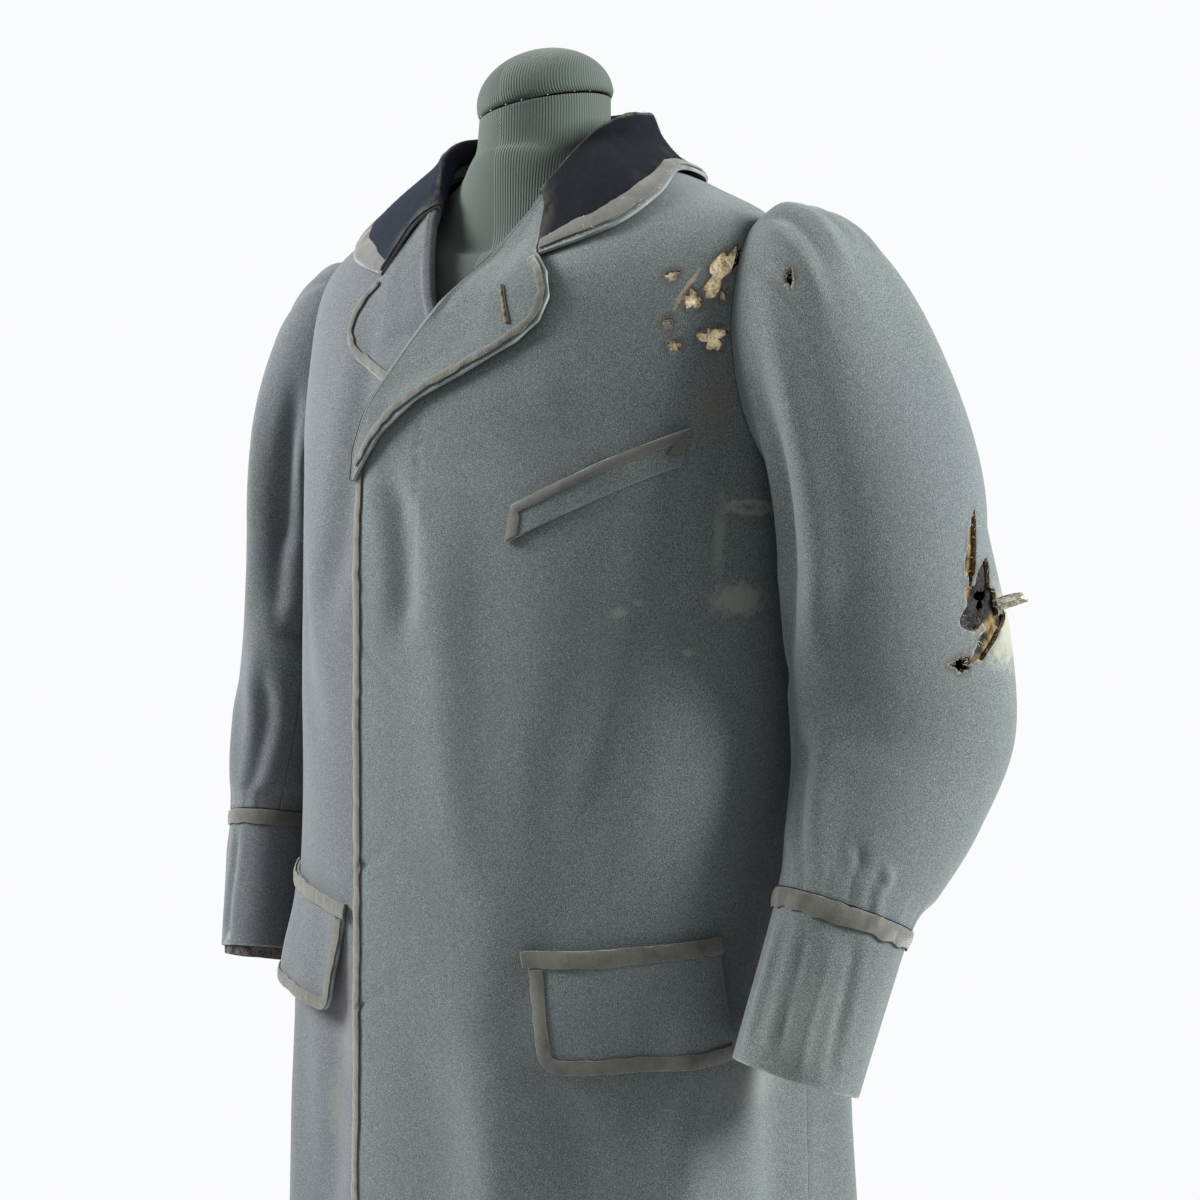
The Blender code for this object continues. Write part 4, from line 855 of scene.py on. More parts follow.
@dataclass
class Shell:
    """A cloth piece: a grid of points on its outer face, given a wall inwards.

    The grid's rows and columns turn anticlockwise seen from outside.
    """

    name: str
    points: Array
    finishes: tuple[str, ...]
    thick: float = WALL
    round_edge: float = 0.0007
    closed: bool = False
    marks: dict[str, Array] = field(default_factory=dict)

    def cloth_map(self) -> Array:
        """Return each point's place on the cloth, in metres along its rows and columns."""
        along = np.linalg.norm(np.diff(self.points, axis=1), axis=-1)
        up = np.linalg.norm(np.diff(self.points, axis=0), axis=-1)
        u = np.concatenate([np.zeros((len(along), 1)), np.cumsum(along, axis=1)], axis=1)
        v = np.concatenate([np.zeros((1, up.shape[1])), np.cumsum(up, axis=0)], axis=0)
        return np.stack([u, np.broadcast_to(v.mean(axis=1, keepdims=True), u.shape)], axis=-1)

    def make(self) -> bpy.types.Object:
        """Return the piece, with its map, marks, wall and rounded edges."""
        rows, columns = self.points.shape[:2]
        shape = bmesh.new()
        bmesh.ops.create_grid(shape, x_segments=columns - 1, y_segments=rows - 1, size=1.0)
        mesh = mesh_of(shape, self.name, *self.finishes)
        mesh.vertices.foreach_set("co", np.ascontiguousarray(self.points, dtype=np.float32).ravel())
        corners = np.empty(len(mesh.loops), dtype=np.int32)
        mesh.loops.foreach_get("vertex_index", corners)
        cloth = mesh.uv_layers.new(name="cloth")
        cloth.data.foreach_set("uv", self.cloth_map().reshape(-1, 2)[corners].astype(np.float32).ravel())
        for mark in ("wear", "char", "fade", "gold"):
            values = self.marks.get(mark, np.zeros((rows, columns)))
            layer = mesh.attributes.new(mark, "FLOAT", "POINT")
            layer.data.foreach_set("value", np.ascontiguousarray(values, dtype=np.float32).ravel())
        if self.closed:
            shape = bmesh.new()
            shape.from_mesh(mesh)
            bmesh.ops.remove_doubles(shape, verts=shape.verts, dist=0.00001)
            shape.to_mesh(mesh)
            shape.free()
        mesh.shade_smooth()
        piece = stand(self.name, mesh)
        wall = piece.modifiers.new("wall", "SOLIDIFY")
        wall.thickness = self.thick
        wall.offset = -1.0
        wall.material_offset = 1 if len(self.finishes) > 1 else 0
        if self.round_edge > 0.0:
            edge = piece.modifiers.new("edge", "BEVEL")
            edge.width = self.round_edge
            edge.segments = 2
            edge.limit_method = "ANGLE"
            edge.angle_limit = math.radians(55)
            edge.harden_normals = False
        apply_modifiers(piece)
        return piece


def edge_wear(rows: int, columns: int, reach: tuple[float, float, float, float], step: tuple[float, float],
              seed: int = 3) -> Array:
    """Return wear that fades in from a grid's edges.

    Args:
        rows: The grid's rows.
        columns: Its columns.
        reach: How strong the wear is at the first row, last row, first column and last column.
        step: The spacing of rows and columns, in metres.
        seed: Picks the unevenness.

    Returns:
        The wear at each point.
    """
    row, column = np.meshgrid(np.arange(rows), np.arange(columns), indexing="ij")
    total = np.zeros((rows, columns))
    far = (row, rows - 1 - row, column, columns - 1 - column)
    for strength, steps, pitch in zip(reach, far, (step[0], step[0], step[1], step[1])):
        total = np.maximum(total, strength * np.exp(-steps * pitch / WEAR_REACH))
    return total * (0.65 + 0.45 * mottle(seed, 0.006, column * step[1], row * step[0]))


@dataclass
class Ribbon:
    """A braid sewn along a path, with puckers, a wavering edge and loose threads."""

    name: str
    place: Callable[[Array, Array, Array], Array]
    path: Array
    inward: Array
    width: float
    thick: float = 0.0013
    pucker: float = 0.0006
    waver: float = 0.0005
    seed: int = 5
    flip: bool = False
    worn: float = 0.5
    step: float = 0.0016
    finish: str = "edge_braid"

    def fine(self) -> tuple[Array, Array, Array]:
        """Return the path, inward directions and lengths, read at close steps."""
        spans = np.linalg.norm(np.diff(self.path, axis=0), axis=-1)
        length = np.concatenate([[0.0], np.cumsum(spans)])
        count = max(int(length[-1] / self.step), 8)
        rows = np.interp(np.linspace(0, length[-1], count), length, np.arange(len(length)))
        return spline(self.path, rows), unit(spline(self.inward, rows)), np.linspace(0, length[-1], count)

    def surface(self) -> Array:
        """Return the braid's outer face, rows across it and columns along it."""
        path, inward, length = self.fine()
        across = np.array([0.0, 0.03, 0.25, 0.5, 0.75, 0.97, 1.0])
        gather = Wobble(self.seed, 0.0065)(length) * 0.6 + Wobble(self.seed + 1, 0.0031)(length) * 0.4
        near = self.waver * Wobble(self.seed + 2, 0.0075)(length)
        far = self.waver * Wobble(self.seed + 3, 0.0090)(length)
        faces = []
        for share in across:
            offset = near + (self.width + far - near) * share
            spot = path + inward * offset[:, None]
            crown = math.sin(math.pi * min(max(share, 0.02), 0.98)) ** 0.4
            lift = LAY + self.thick * (0.55 + 0.45 * crown) + self.pucker * (0.5 + 0.5 * gather) * crown
            faces.append(self.place(spot[:, 0], spot[:, 1], lift))
        return np.array(faces)

    def make(self) -> bpy.types.Object:
        """Return the braid."""
        points = self.surface()
        if self.flip:
            points = points[:, ::-1]
        wear = edge_wear(*points.shape[:2], (self.worn, self.worn * 0.6, 0.0, 0.0), (self.width / 6, self.step))
        shell = Shell(self.name, points, (self.finish,), self.thick * 0.8, 0.0, marks={"wear": wear})
        return shell.make()


@dataclass
class Threads:
    """Loose fibres, as thin tapered strands."""

    name: str
    finish: str
    radius: float
    strands: list[Array] = field(default_factory=list)

    def tuft(self, root: Array, ahead: Array, length: float, curl: float, rng: np.random.Generator) -> None:
        """Add one curling strand.

        Args:
            root: Where it starts.
            ahead: Its first direction.
            length: Its length.
            curl: How much it turns from step to step.
            rng: The seeded source of its turns.
        """
        points, heading = [np.asarray(root, float)], unit(np.asarray(ahead, float))
        for _ in range(5):
            heading = unit(heading + curl * rng.normal(size=3))
            points.append(points[-1] + heading * length / 5)
        self.strands.append(np.array(points))

    def make(self) -> bpy.types.Object:
        """Return the strands as one mesh."""
        strands = bpy.data.curves.new(self.name, "CURVE")
        strands.dimensions = "3D"
        strands.bevel_depth = self.radius
        strands.bevel_resolution = 0
        strands.use_fill_caps = True
        for strand in self.strands:
            line = strands.splines.new("POLY")
            line.points.add(len(strand) - 1)
            line.points.foreach_set("co", np.c_[strand, np.ones(len(strand))].astype(np.float32).ravel())
            line.points.foreach_set("radius", np.linspace(1.0, 0.45, len(strand)).astype(np.float32))
        source = stand(self.name + "_line", strands)
        mesh = evaluated(source)
        bpy.data.objects.remove(source, do_unlink=True)
        mesh.materials.clear()
        mesh.materials.append(FINISHES[self.finish])
        mesh.shade_smooth()
        return stand(self.name, mesh)


@dataclass(frozen=True)
class Tear:
    """A tear or moth hole: its place on the surface, half sizes, turn from level, and raggedness."""

    angle: float
    place: float
    half_wide: float
    half_tall: float
    turn: float
    ragged: float
    count: int = 72

    def frame(self, surface: Callable[..., Array]) -> tuple[Array, Array, Array, Array]:
        """Return the tear's centre and its across, up and outward directions."""
        angle = math.radians(self.angle)
        centre = surface(angle, self.place, 0.0)
        normal = unit(surface(angle, self.place, 0.01) - centre)
        up = unit(UP - normal * normal[2])
        return centre, unit(np.cross(up, normal)), up, normal

    def ring(self, surface: Callable[..., Array]) -> Array:
        """Return the ragged rim in space."""
        centre, across, up, _ = self.frame(surface)
        t = np.linspace(0, 2 * math.pi, self.count, endpoint=False)
        phase = self.angle * 0.7 + self.place
        rough = 1 + self.ragged * (np.sin(3 * t + phase) + 0.7 * np.sin(5 * t + 2 * phase) + 0.5 * np.sin(8 * t))
        small = 0.0007 * Wobble(int(self.angle * 7), 0.22)(t)
        u = (self.half_wide * rough + small) * np.cos(t)
        v = (self.half_tall * rough + small) * np.sin(t)
        turn = math.radians(self.turn)
        a, b = u * math.cos(turn) - v * math.sin(turn), u * math.sin(turn) + v * math.cos(turn)
        return centre + across * a[:, None] + up * b[:, None]


def cut_tears(piece: bpy.types.Object, tears: Sequence[Tear], surface: Callable[..., Array], rim: int) -> None:
    """Cut ragged tears through a piece.

    Args:
        piece: The cloth piece.
        tears: The tears to cut.
        surface: The surface that the piece follows.
        rim: The material number that the cut edge gets.
    """
    for tear in tears:
        ring = tear.ring(surface)
        normal = tear.frame(surface)[3]
        shape = filled_ring(ring - normal * CUT_DEPTH)
        pulled = bmesh.ops.extrude_face_region(shape, geom=list(shape.faces))["geom"]
        ends = [part for part in pulled if isinstance(part, bmesh.types.BMVert)]
        bmesh.ops.translate(shape, vec=Vector(normal * 2 * CUT_DEPTH), verts=ends)
        bmesh.ops.recalc_face_normals(shape, faces=shape.faces)
        for face in shape.faces:
            face.material_index = rim
        finishes = [material.name for material in piece.data.materials]
        cutter = stand(piece.name + "_cutter", mesh_of(shape, piece.name + "_cutter", *finishes))
        cut = piece.modifiers.new("tear", "BOOLEAN")
        cut.operation = "DIFFERENCE"
        cut.solver = "EXACT"
        cut.object = cutter
        apply_modifiers(piece)
        bpy.data.objects.remove(cutter, do_unlink=True)


BODY_CREASES = (
    Crease((0.004, 1.262), (0.000, 1.150), 0.0012, -0.0024, seed=3),
    Crease((-0.022, 1.225), (-0.010, 1.090), 0.0120, -0.0054, 0.006, 5),
    Crease((0.030, 1.190), (0.060, 0.900), 0.0220, 0.0041, -0.010, 7),
    Crease((0.215, 1.235), (0.120, 0.960), 0.0260, -0.0051, 0.018, 11),
    Crease((0.175, 1.060), (0.070, 0.780), 0.0230, -0.0035, 0.014, 13),
    Crease((0.110, 1.330), (0.180, 1.210), 0.0200, 0.0030, -0.010, 15),
    Crease((-0.050, 1.085), (-0.010, 1.050), 0.0032, -0.0016, 0.002, 17),
    Crease((-0.058, 0.905), (-0.020, 0.936), 0.0030, -0.0016, -0.002, 19),
    Crease((-0.058, 0.788), (-0.005, 0.822), 0.0020, -0.0018, 0.006, 21),
    Crease((0.060, 0.820), (0.075, 0.430), 0.0280, 0.0074, 0.006, 23),
    Crease((0.140, 0.760), (0.150, 0.425), 0.0260, -0.0081, 0.008, 25),
    Crease((0.235, 0.850), (0.230, 0.425), 0.0240, 0.0081, -0.006, 27),
    Crease((0.330, 0.900), (0.320, 0.425), 0.0300, -0.0088, 0.008, 29),
    Crease((0.420, 0.860), (0.430, 0.425), 0.0280, 0.0088, 0.006, 31),
    Crease((0.520, 0.960), (0.510, 0.425), 0.0260, -0.0081, -0.008, 33),
    Crease((0.600, 0.900), (0.610, 0.425), 0.0300, 0.0081, 0.006, 35),
    Crease((-0.110, 0.880), (-0.100, 0.425), 0.0260, -0.0068, 0.006, 37),
    Crease((-0.190, 0.900), (-0.180, 0.425), 0.0250, 0.0074, -0.006, 39),
    Crease((-0.280, 0.920), (-0.290, 0.425), 0.0280, -0.0081, 0.008, 41),
    Crease((-0.370, 0.860), (-0.360, 0.425), 0.0260, 0.0081, 0.006, 43),
    Crease((-0.470, 0.930), (-0.480, 0.425), 0.0300, -0.0088, -0.006, 45),
    Crease((-0.570, 0.900), (-0.560, 0.425), 0.0260, 0.0081, 0.006, 47),
    Crease((-0.680, 0.950), (-0.690, 0.425), 0.0280, -0.0074, 0.006, 49),
    Crease((0.690, 0.980), (0.700, 0.425), 0.0260, -0.0068, 0.006, 51),
    Crease((-0.215, 1.240), (-0.120, 1.000), 0.0240, -0.0047, -0.014, 53),
    Crease((0.560, 1.380), (0.450, 1.230), 0.0200, -0.0043, 0.010, 55),
    Crease((-0.560, 1.380), (-0.450, 1.230), 0.0200, -0.0043, -0.010, 57),
    Crease((0.640, 1.250), (0.560, 1.000), 0.0260, 0.0043, 0.014, 59),
    Crease((-0.650, 1.250), (-0.560, 1.000), 0.0260, 0.0041, -0.014, 61),
    Crease((-0.075, 1.330), (-0.110, 1.100), 0.0180, -0.0041, 0.008, 63),
)
LEFT_ARM_CREASES = (
    Crease((0.090, 0.030), (0.105, 0.230), 0.0110, -0.0052, 0.005, 71),
    Crease((0.128, 0.040), (0.138, 0.200), 0.0120, 0.0037, 0.004, 73),
    Crease((0.150, 0.012), (0.158, 0.062), 0.0045, -0.0020, 0.0, 75),
    Crease((0.170, 0.010), (0.176, 0.066), 0.0050, 0.0022, 0.0, 77),
    Crease((0.188, 0.010), (0.190, 0.058), 0.0042, -0.0021, 0.0, 79),
    Crease((0.206, 0.010), (0.205, 0.064), 0.0050, 0.0021, 0.0, 81),
    Crease((0.224, 0.010), (0.220, 0.055), 0.0045, -0.0020, 0.0, 83),
    Crease((0.246, 0.012), (0.240, 0.060), 0.0050, 0.0019, 0.0, 85),
    Crease((0.270, 0.012), (0.262, 0.058), 0.0048, -0.0019, 0.0, 87),
    Crease((0.300, 0.020), (0.285, 0.090), 0.0080, 0.0030, 0.0, 89),
    Crease((0.020, 0.190), (0.100, 0.240), 0.0140, -0.0026, 0.006, 91),
    Crease((0.020, 0.245), (0.095, 0.290), 0.0150, -0.0012, 0.004, 93),
    Crease((0.405, 0.150), (0.330, 0.260), 0.0140, -0.0063, 0.010, 95),
    Crease((0.425, 0.280), (0.330, 0.300), 0.0140, -0.0024, 0.004, 97),
    Crease((0.410, 0.350), (0.320, 0.320), 0.0140, -0.0024, 0.004, 99),
    Crease((0.160, 0.260), (0.150, 0.420), 0.0160, 0.0037, 0.010, 101),
    Crease((0.130, 0.300), (0.128, 0.425), 0.0100, -0.0032, 0.004, 103),
    Crease((0.190, 0.392), (0.185, 0.440), 0.0060, -0.0028, 0.0, 105),
    Crease((0.215, 0.400), (0.214, 0.440), 0.0055, 0.0028, 0.0, 107),
    Crease((0.150, 0.455), (0.152, 0.545), 0.0070, -0.0022, 0.0, 109),
    Crease((0.175, 0.450), (0.180, 0.550), 0.0080, 0.0025, 0.002, 111),
    Crease((0.200, 0.455), (0.210, 0.550), 0.0070, -0.0022, 0.0, 113),
    Crease((0.110, 0.455), (0.108, 0.550), 0.0080, 0.0022, 0.0, 115),
    Crease((0.300, 0.450), (0.300, 0.550), 0.0090, -0.0028, 0.0, 117),
    Crease((0.380, 0.450), (0.385, 0.550), 0.0090, 0.0028, 0.0, 119),
)
RIGHT_ARM_CREASES = (
    Crease((0.095, 0.030), (0.110, 0.240), 0.0110, -0.0050, 0.005, 171),
    Crease((0.150, 0.040), (0.150, 0.260), 0.0140, 0.0035, 0.004, 173),
    Crease((0.175, 0.010), (0.180, 0.060), 0.0050, -0.0020, 0.0, 175),
    Crease((0.205, 0.010), (0.205, 0.066), 0.0055, 0.0021, 0.0, 177),
    Crease((0.235, 0.010), (0.232, 0.058), 0.0048, -0.0020, 0.0, 179),
    Crease((0.265, 0.012), (0.258, 0.060), 0.0050, 0.0019, 0.0, 181),
    Crease((0.020, 0.200), (0.100, 0.250), 0.0120, -0.0056, 0.006, 183),
    Crease((0.415, 0.170), (0.330, 0.270), 0.0130, -0.0056, 0.010, 185),
    Crease((0.420, 0.290), (0.330, 0.310), 0.0120, -0.0052, 0.004, 187),
    Crease((0.120, 0.280), (0.120, 0.420), 0.0120, -0.0035, 0.006, 189),
    Crease((0.180, 0.300), (0.175, 0.430), 0.0140, 0.0030, 0.006, 191),
    Crease((0.140, 0.450), (0.145, 0.550), 0.0080, -0.0022, 0.0, 193),
    Crease((0.200, 0.450), (0.205, 0.550), 0.0090, 0.0022, 0.0, 195),
    Crease((0.320, 0.450), (0.320, 0.550), 0.0090, -0.0025, 0.0, 197),
)
BODY = BodySurface(BODY_CREASES)
ARM = {
    Side.LEFT: SleeveSurface(Side.LEFT, LEFT_ARM_CREASES),
    Side.RIGHT: SleeveSurface(Side.RIGHT, RIGHT_ARM_CREASES),
}
FRONT_TEARS = (
    Tear(67.2, 6.64, 0.0240, 0.0070, 52, 0.22),
    Tear(58.2, 6.44, 0.0060, 0.0066, 0, 0.20),
    Tear(63.0, 6.09, 0.0100, 0.0075, 10, 0.24),
    Tear(53.5, 6.73, 0.0048, 0.0032, 20, 0.15),
    Tear(51.5, 6.29, 0.0034, 0.0030, 0, 0.12),
    Tear(53.2, 6.08, 0.0046, 0.0038, -15, 0.18),
    Tear(66.6, 6.42, 0.0028, 0.0034, 0, 0.10),
)
SLEEVE_TEARS = (
    Tear(132, 0.28, 0.0026, 0.0055, 12, 0.12),
    Tear(202, 1.10, 0.0062, 0.0250, -2, 0.16),
    Tear(210, 1.60, 0.0210, 0.0240, 14, 0.20),
    Tear(216, 1.90, 0.0290, 0.0068, 36, 0.16),
    Tear(193, 2.06, 0.0075, 0.0050, 0, 0.20),
)


def around_tears(points: Array, tears: Sequence[Tear], surface: Callable[..., Array], reach: float) -> Array:
    """Return how near each point lies to a tear's rim, from 0 to 1."""
    total = np.zeros(points.shape[:2])
    for tear in tears:
        rim = tear.ring(surface)[::4]
        far = np.full(points.shape[:2], 9.0)
        near = np.linalg.norm(points - rim.mean(axis=0), axis=-1) < 0.06
        if near.any():
            gap = np.linalg.norm(points[near][:, None] - rim[None], axis=-1).min(axis=1)
            far[near] = gap
        total = np.maximum(total, np.exp(-((far / reach) ** 2)))
    return total


def body_rows(skirt: int, armhole: int, yoke: int) -> list[tuple[float, float]]:
    """Return each row's level and how open the armhole is there."""
    rows = [(level, 0.0) for level in np.linspace(0, ARMHOLE_BOTTOM, skirt)[:-1]]
    for step in range(armhole + 1):
        turn = math.pi * step / armhole
        rows.append((ARMHOLE_MIDDLE - ARMHOLE_HALF * math.cos(turn), math.sin(turn)))
    return rows + [(level, 0.0) for level in np.linspace(ARMHOLE_TOP, NECK_LEVEL, yoke)[1:]]


@dataclass
class Front:
    """A front: cloth from the hem to the shoulder, its edge over or under the other one."""

    side: Side
    columns: int = 100
    skirt_rows: int = 140
    armhole_rows: int = 56
    yoke_rows: int = 22

    def grid(self) -> tuple[Array, Array]:
        """Return the front's own angles and levels."""
        angles, levels = [], []
        for level, opened in body_rows(self.skirt_rows, self.armhole_rows, self.yoke_rows):
            x, row = 0.0, np.array([level])
            for _ in range(12):
                x = float(roll_x(BODY.bare(BODY.angle_of(np.array([x]), row), row)[0, 2]))
            start = float(BODY.angle_of(np.array([x]), row)[0])
            seam = SEAM / 2 / float(spline(BODY_RINGS, row)[0, 3])
            share = np.linspace(0, 1, self.columns)
            angles.append(start + (math.pi / 2 - ARMHOLE_FRONT * opened - seam - start) * share)
            levels.append(np.full(self.columns, level))
        return np.array(angles), np.array(levels)

    def surface(self, theta: Array, level: Array, out: Array | float) -> Array:
        """Return points outside this front."""
        return BODY.front(self.side, theta, level, out)

    def build(self) -> None:
        """Make the cloth, with its tears on the left."""
        theta, level = self.grid()
        columns = np.arange(self.columns)[None, :]
        pull = 0.0007 * Wobble(40 + self.side.value, 0.016)(level * 0.18) * np.exp(-columns / 1.7)
        points = self.surface(theta, level, pull)
        wear = edge_wear(*points.shape[:2], (0.3, 0.0, 0.8, 0.0), (0.0064, 0.0052))
        char = np.zeros(points.shape[:2])
        if self.side is Side.LEFT:
            char = around_tears(points, FRONT_TEARS, self.surface, 0.0032)
        else:
            points = points[:, ::-1]
            wear = wear[:, ::-1]
        wool = self.side.wool()
        shell = Shell(f"{self.side.label}_front_cloth", points, (wool, "dark_lining", "frayed_edge"),
                      marks={"wear": wear, "char": char})
        piece = shell.make()
        if self.side is Side.LEFT:
            cut_tears(piece, FRONT_TEARS, self.surface, 2)
        ride(piece, "coat_cloth", f"{self.side.label}_front")


@dataclass
class Back:
    """The back, in one piece."""

    columns: int = 96
    skirt_rows: int = 104
    armhole_rows: int = 46
    yoke_rows: int = 18

    def build(self) -> None:
        """Make the cloth."""
        angles, levels = [], []
        for level, opened in body_rows(self.skirt_rows, self.armhole_rows, self.yoke_rows):
            seam = SEAM / 2 / float(spline(BODY_RINGS, np.array([level]))[0, 3])
            edge = math.pi / 2 + ARMHOLE_BACK * opened + seam
            angles.append(np.linspace(edge, 2 * math.pi - edge, self.columns))
            levels.append(np.full(self.columns, level))
        points = BODY.at(np.array(angles), np.array(levels))
        wear = edge_wear(*points.shape[:2], (0.3, 0.0, 0.0, 0.0), (0.0064, 0.0076))
        piece = Shell("back_cloth", points, ("coat_wool", "dark_lining"), marks={"wear": wear}).make()
        ride(piece, "coat_cloth", "back")


@dataclass
class Sleeve:
    """A sleeve: top and under pieces, then the cuff with its braid."""

    side: Side
    first: int = 4
    last: int = 19
    steps: int = 12
    fine: int = 6

    def places(self) -> Array:
        """Return the places of the cloth's rows."""
        head = np.linspace(0.0, 1.0, 56)[:-1] ** 1.15
        return np.concatenate([head, np.linspace(1.0, SLEEVE_END, 110)])

    def panel(self, first: int, last: int) -> tuple[Array, Array]:
        """Return the angles and places of a piece between two steps of the armhole."""
        gap = SEAM / 2 / 0.05
        angles = np.linspace(math.pi * first / self.steps + gap, math.pi * last / self.steps - gap,
                             (last - first) * self.fine + 1)
        phi, place = np.meshgrid(angles, self.places())
        return phi, place

    def cloth(self, name: str, first: int, last: int, flat: tuple[float, float], area: float) -> None:
        """Make one piece of the sleeve."""
        surface = ARM[self.side].at
        phi, place = self.panel(first, last)
        bunch = smoothstep(5.2, SLEEVE_END, place)
        gather = 0.0011 * bunch * Wobble(60 + self.side.value, 0.10)(phi) * (1 - 0.4 * bunch)
        points = surface(phi, place, gather)
        torn = self.side is Side.LEFT and name == "top_sleeve"
        char = around_tears(points, SLEEVE_TEARS, surface, 0.0040) if torn else np.zeros(points.shape[:2])
        wear = np.zeros(points.shape[:2])
        marks = {"wear": wear, "char": char}
        if self.side is Side.LEFT:
            points, marks = points[:, ::-1], {key: value[:, ::-1] for key, value in marks.items()}
        wool = self.side.wool("sleeve_wool")
        shell = Shell(f"{self.side.label}_{name}_cloth", points, (wool, "dark_lining", "frayed_edge"), marks=marks)
        piece = shell.make()
        if torn:
            cut_tears(piece, SLEEVE_TEARS, surface, 2)
        ride(piece, "coat_cloth", f"{self.side.label}_{name}")

    def cuff(self) -> None:
        """Make the cuff and the braid round its top."""
        surface = ARM[self.side].at
        angles = np.linspace(0, 2 * math.pi, 24 * self.fine + 1)
        phi, place = np.meshgrid(angles, np.linspace(CUFF_START, CUFF_END, 34))
        low = smoothstep(6.7, CUFF_END, place)
        points = surface(phi, place, 0.0012 * low * Wobble(81, 0.5)(phi) * np.sin(phi / 2))
        wear = edge_wear(*points.shape[:2], (0.0, 0.9, 0.0, 0.0), (0.0036, 0.0022))
        if self.side is Side.LEFT:
            points, wear = points[:, ::-1], wear[:, ::-1]
        wool = self.side.wool("sleeve_wool")
        piece = Shell(f"{self.side.label}_cuff_cloth", points, (wool, "dark_lining"), closed=True,
                      marks={"wear": wear}).make()
        ride(piece, "coat_cloth", f"{self.side.label}_cuff")
        turn = np.linspace(0, 2 * math.pi, 72)
        path = np.stack([turn * CUFF_RADIUS, np.zeros(turn.shape)], axis=-1)

        def band(u: Array, drop: Array, out: Array) -> Array:
            """Return points round the cuff's top, u round it and drop down from it."""
            return surface(u / CUFF_RADIUS, CUFF_START + 0.01 + drop / 0.075, out)

        gathered = 0.0016 if self.side is Side.LEFT else 0.0006
        braid = Ribbon(f"{self.side.label}_cuff_braid_cloth", band, path, np.tile([0.0, 1.0], (72, 1)), 0.0115,
                       pucker=gathered, waver=0.0010, seed=90 + self.side.value, flip=self.side is Side.LEFT)
        made = ride(braid.make(), "braid")

    def build(self) -> None:
        """Make the sleeve's pieces."""
        self.cloth("top_sleeve", self.first, self.last, (0.36, 0.56), 0.150)
        self.cloth("under_sleeve", self.last, self.first + 2 * self.steps, (0.20, 0.50), 0.064)
        self.cuff()


LAPEL_EDGE = ((1.214, -0.0650), (1.224, -0.0580), (1.250, -0.0310), (1.274, 0.0060), (1.292, 0.0480), (1.312, 0.0880),
              (1.327, 0.1040), (1.345, 0.1080), (1.363, 0.1010), (1.377, 0.0870))
ROLL_SECTION = ((-0.0055, -0.0036), (-0.0075, 0.0004), (-0.0065, 0.0040), (-0.0007, 0.0062))
LAPEL_CREASES = (
    Crease((0.030, 1.420), (0.010, 1.330), 0.0110, -0.0026, 0.004, 201),
    Crease((0.075, 1.400), (0.050, 1.320), 0.0120, 0.0016, 0.004, 203),
    Crease((0.010, 1.330), (0.060, 1.318), 0.0070, -0.0010, 0.002, 205),
    Crease((-0.030, 1.270), (0.030, 1.292), 0.0060, 0.0012, 0.000, 207),
)


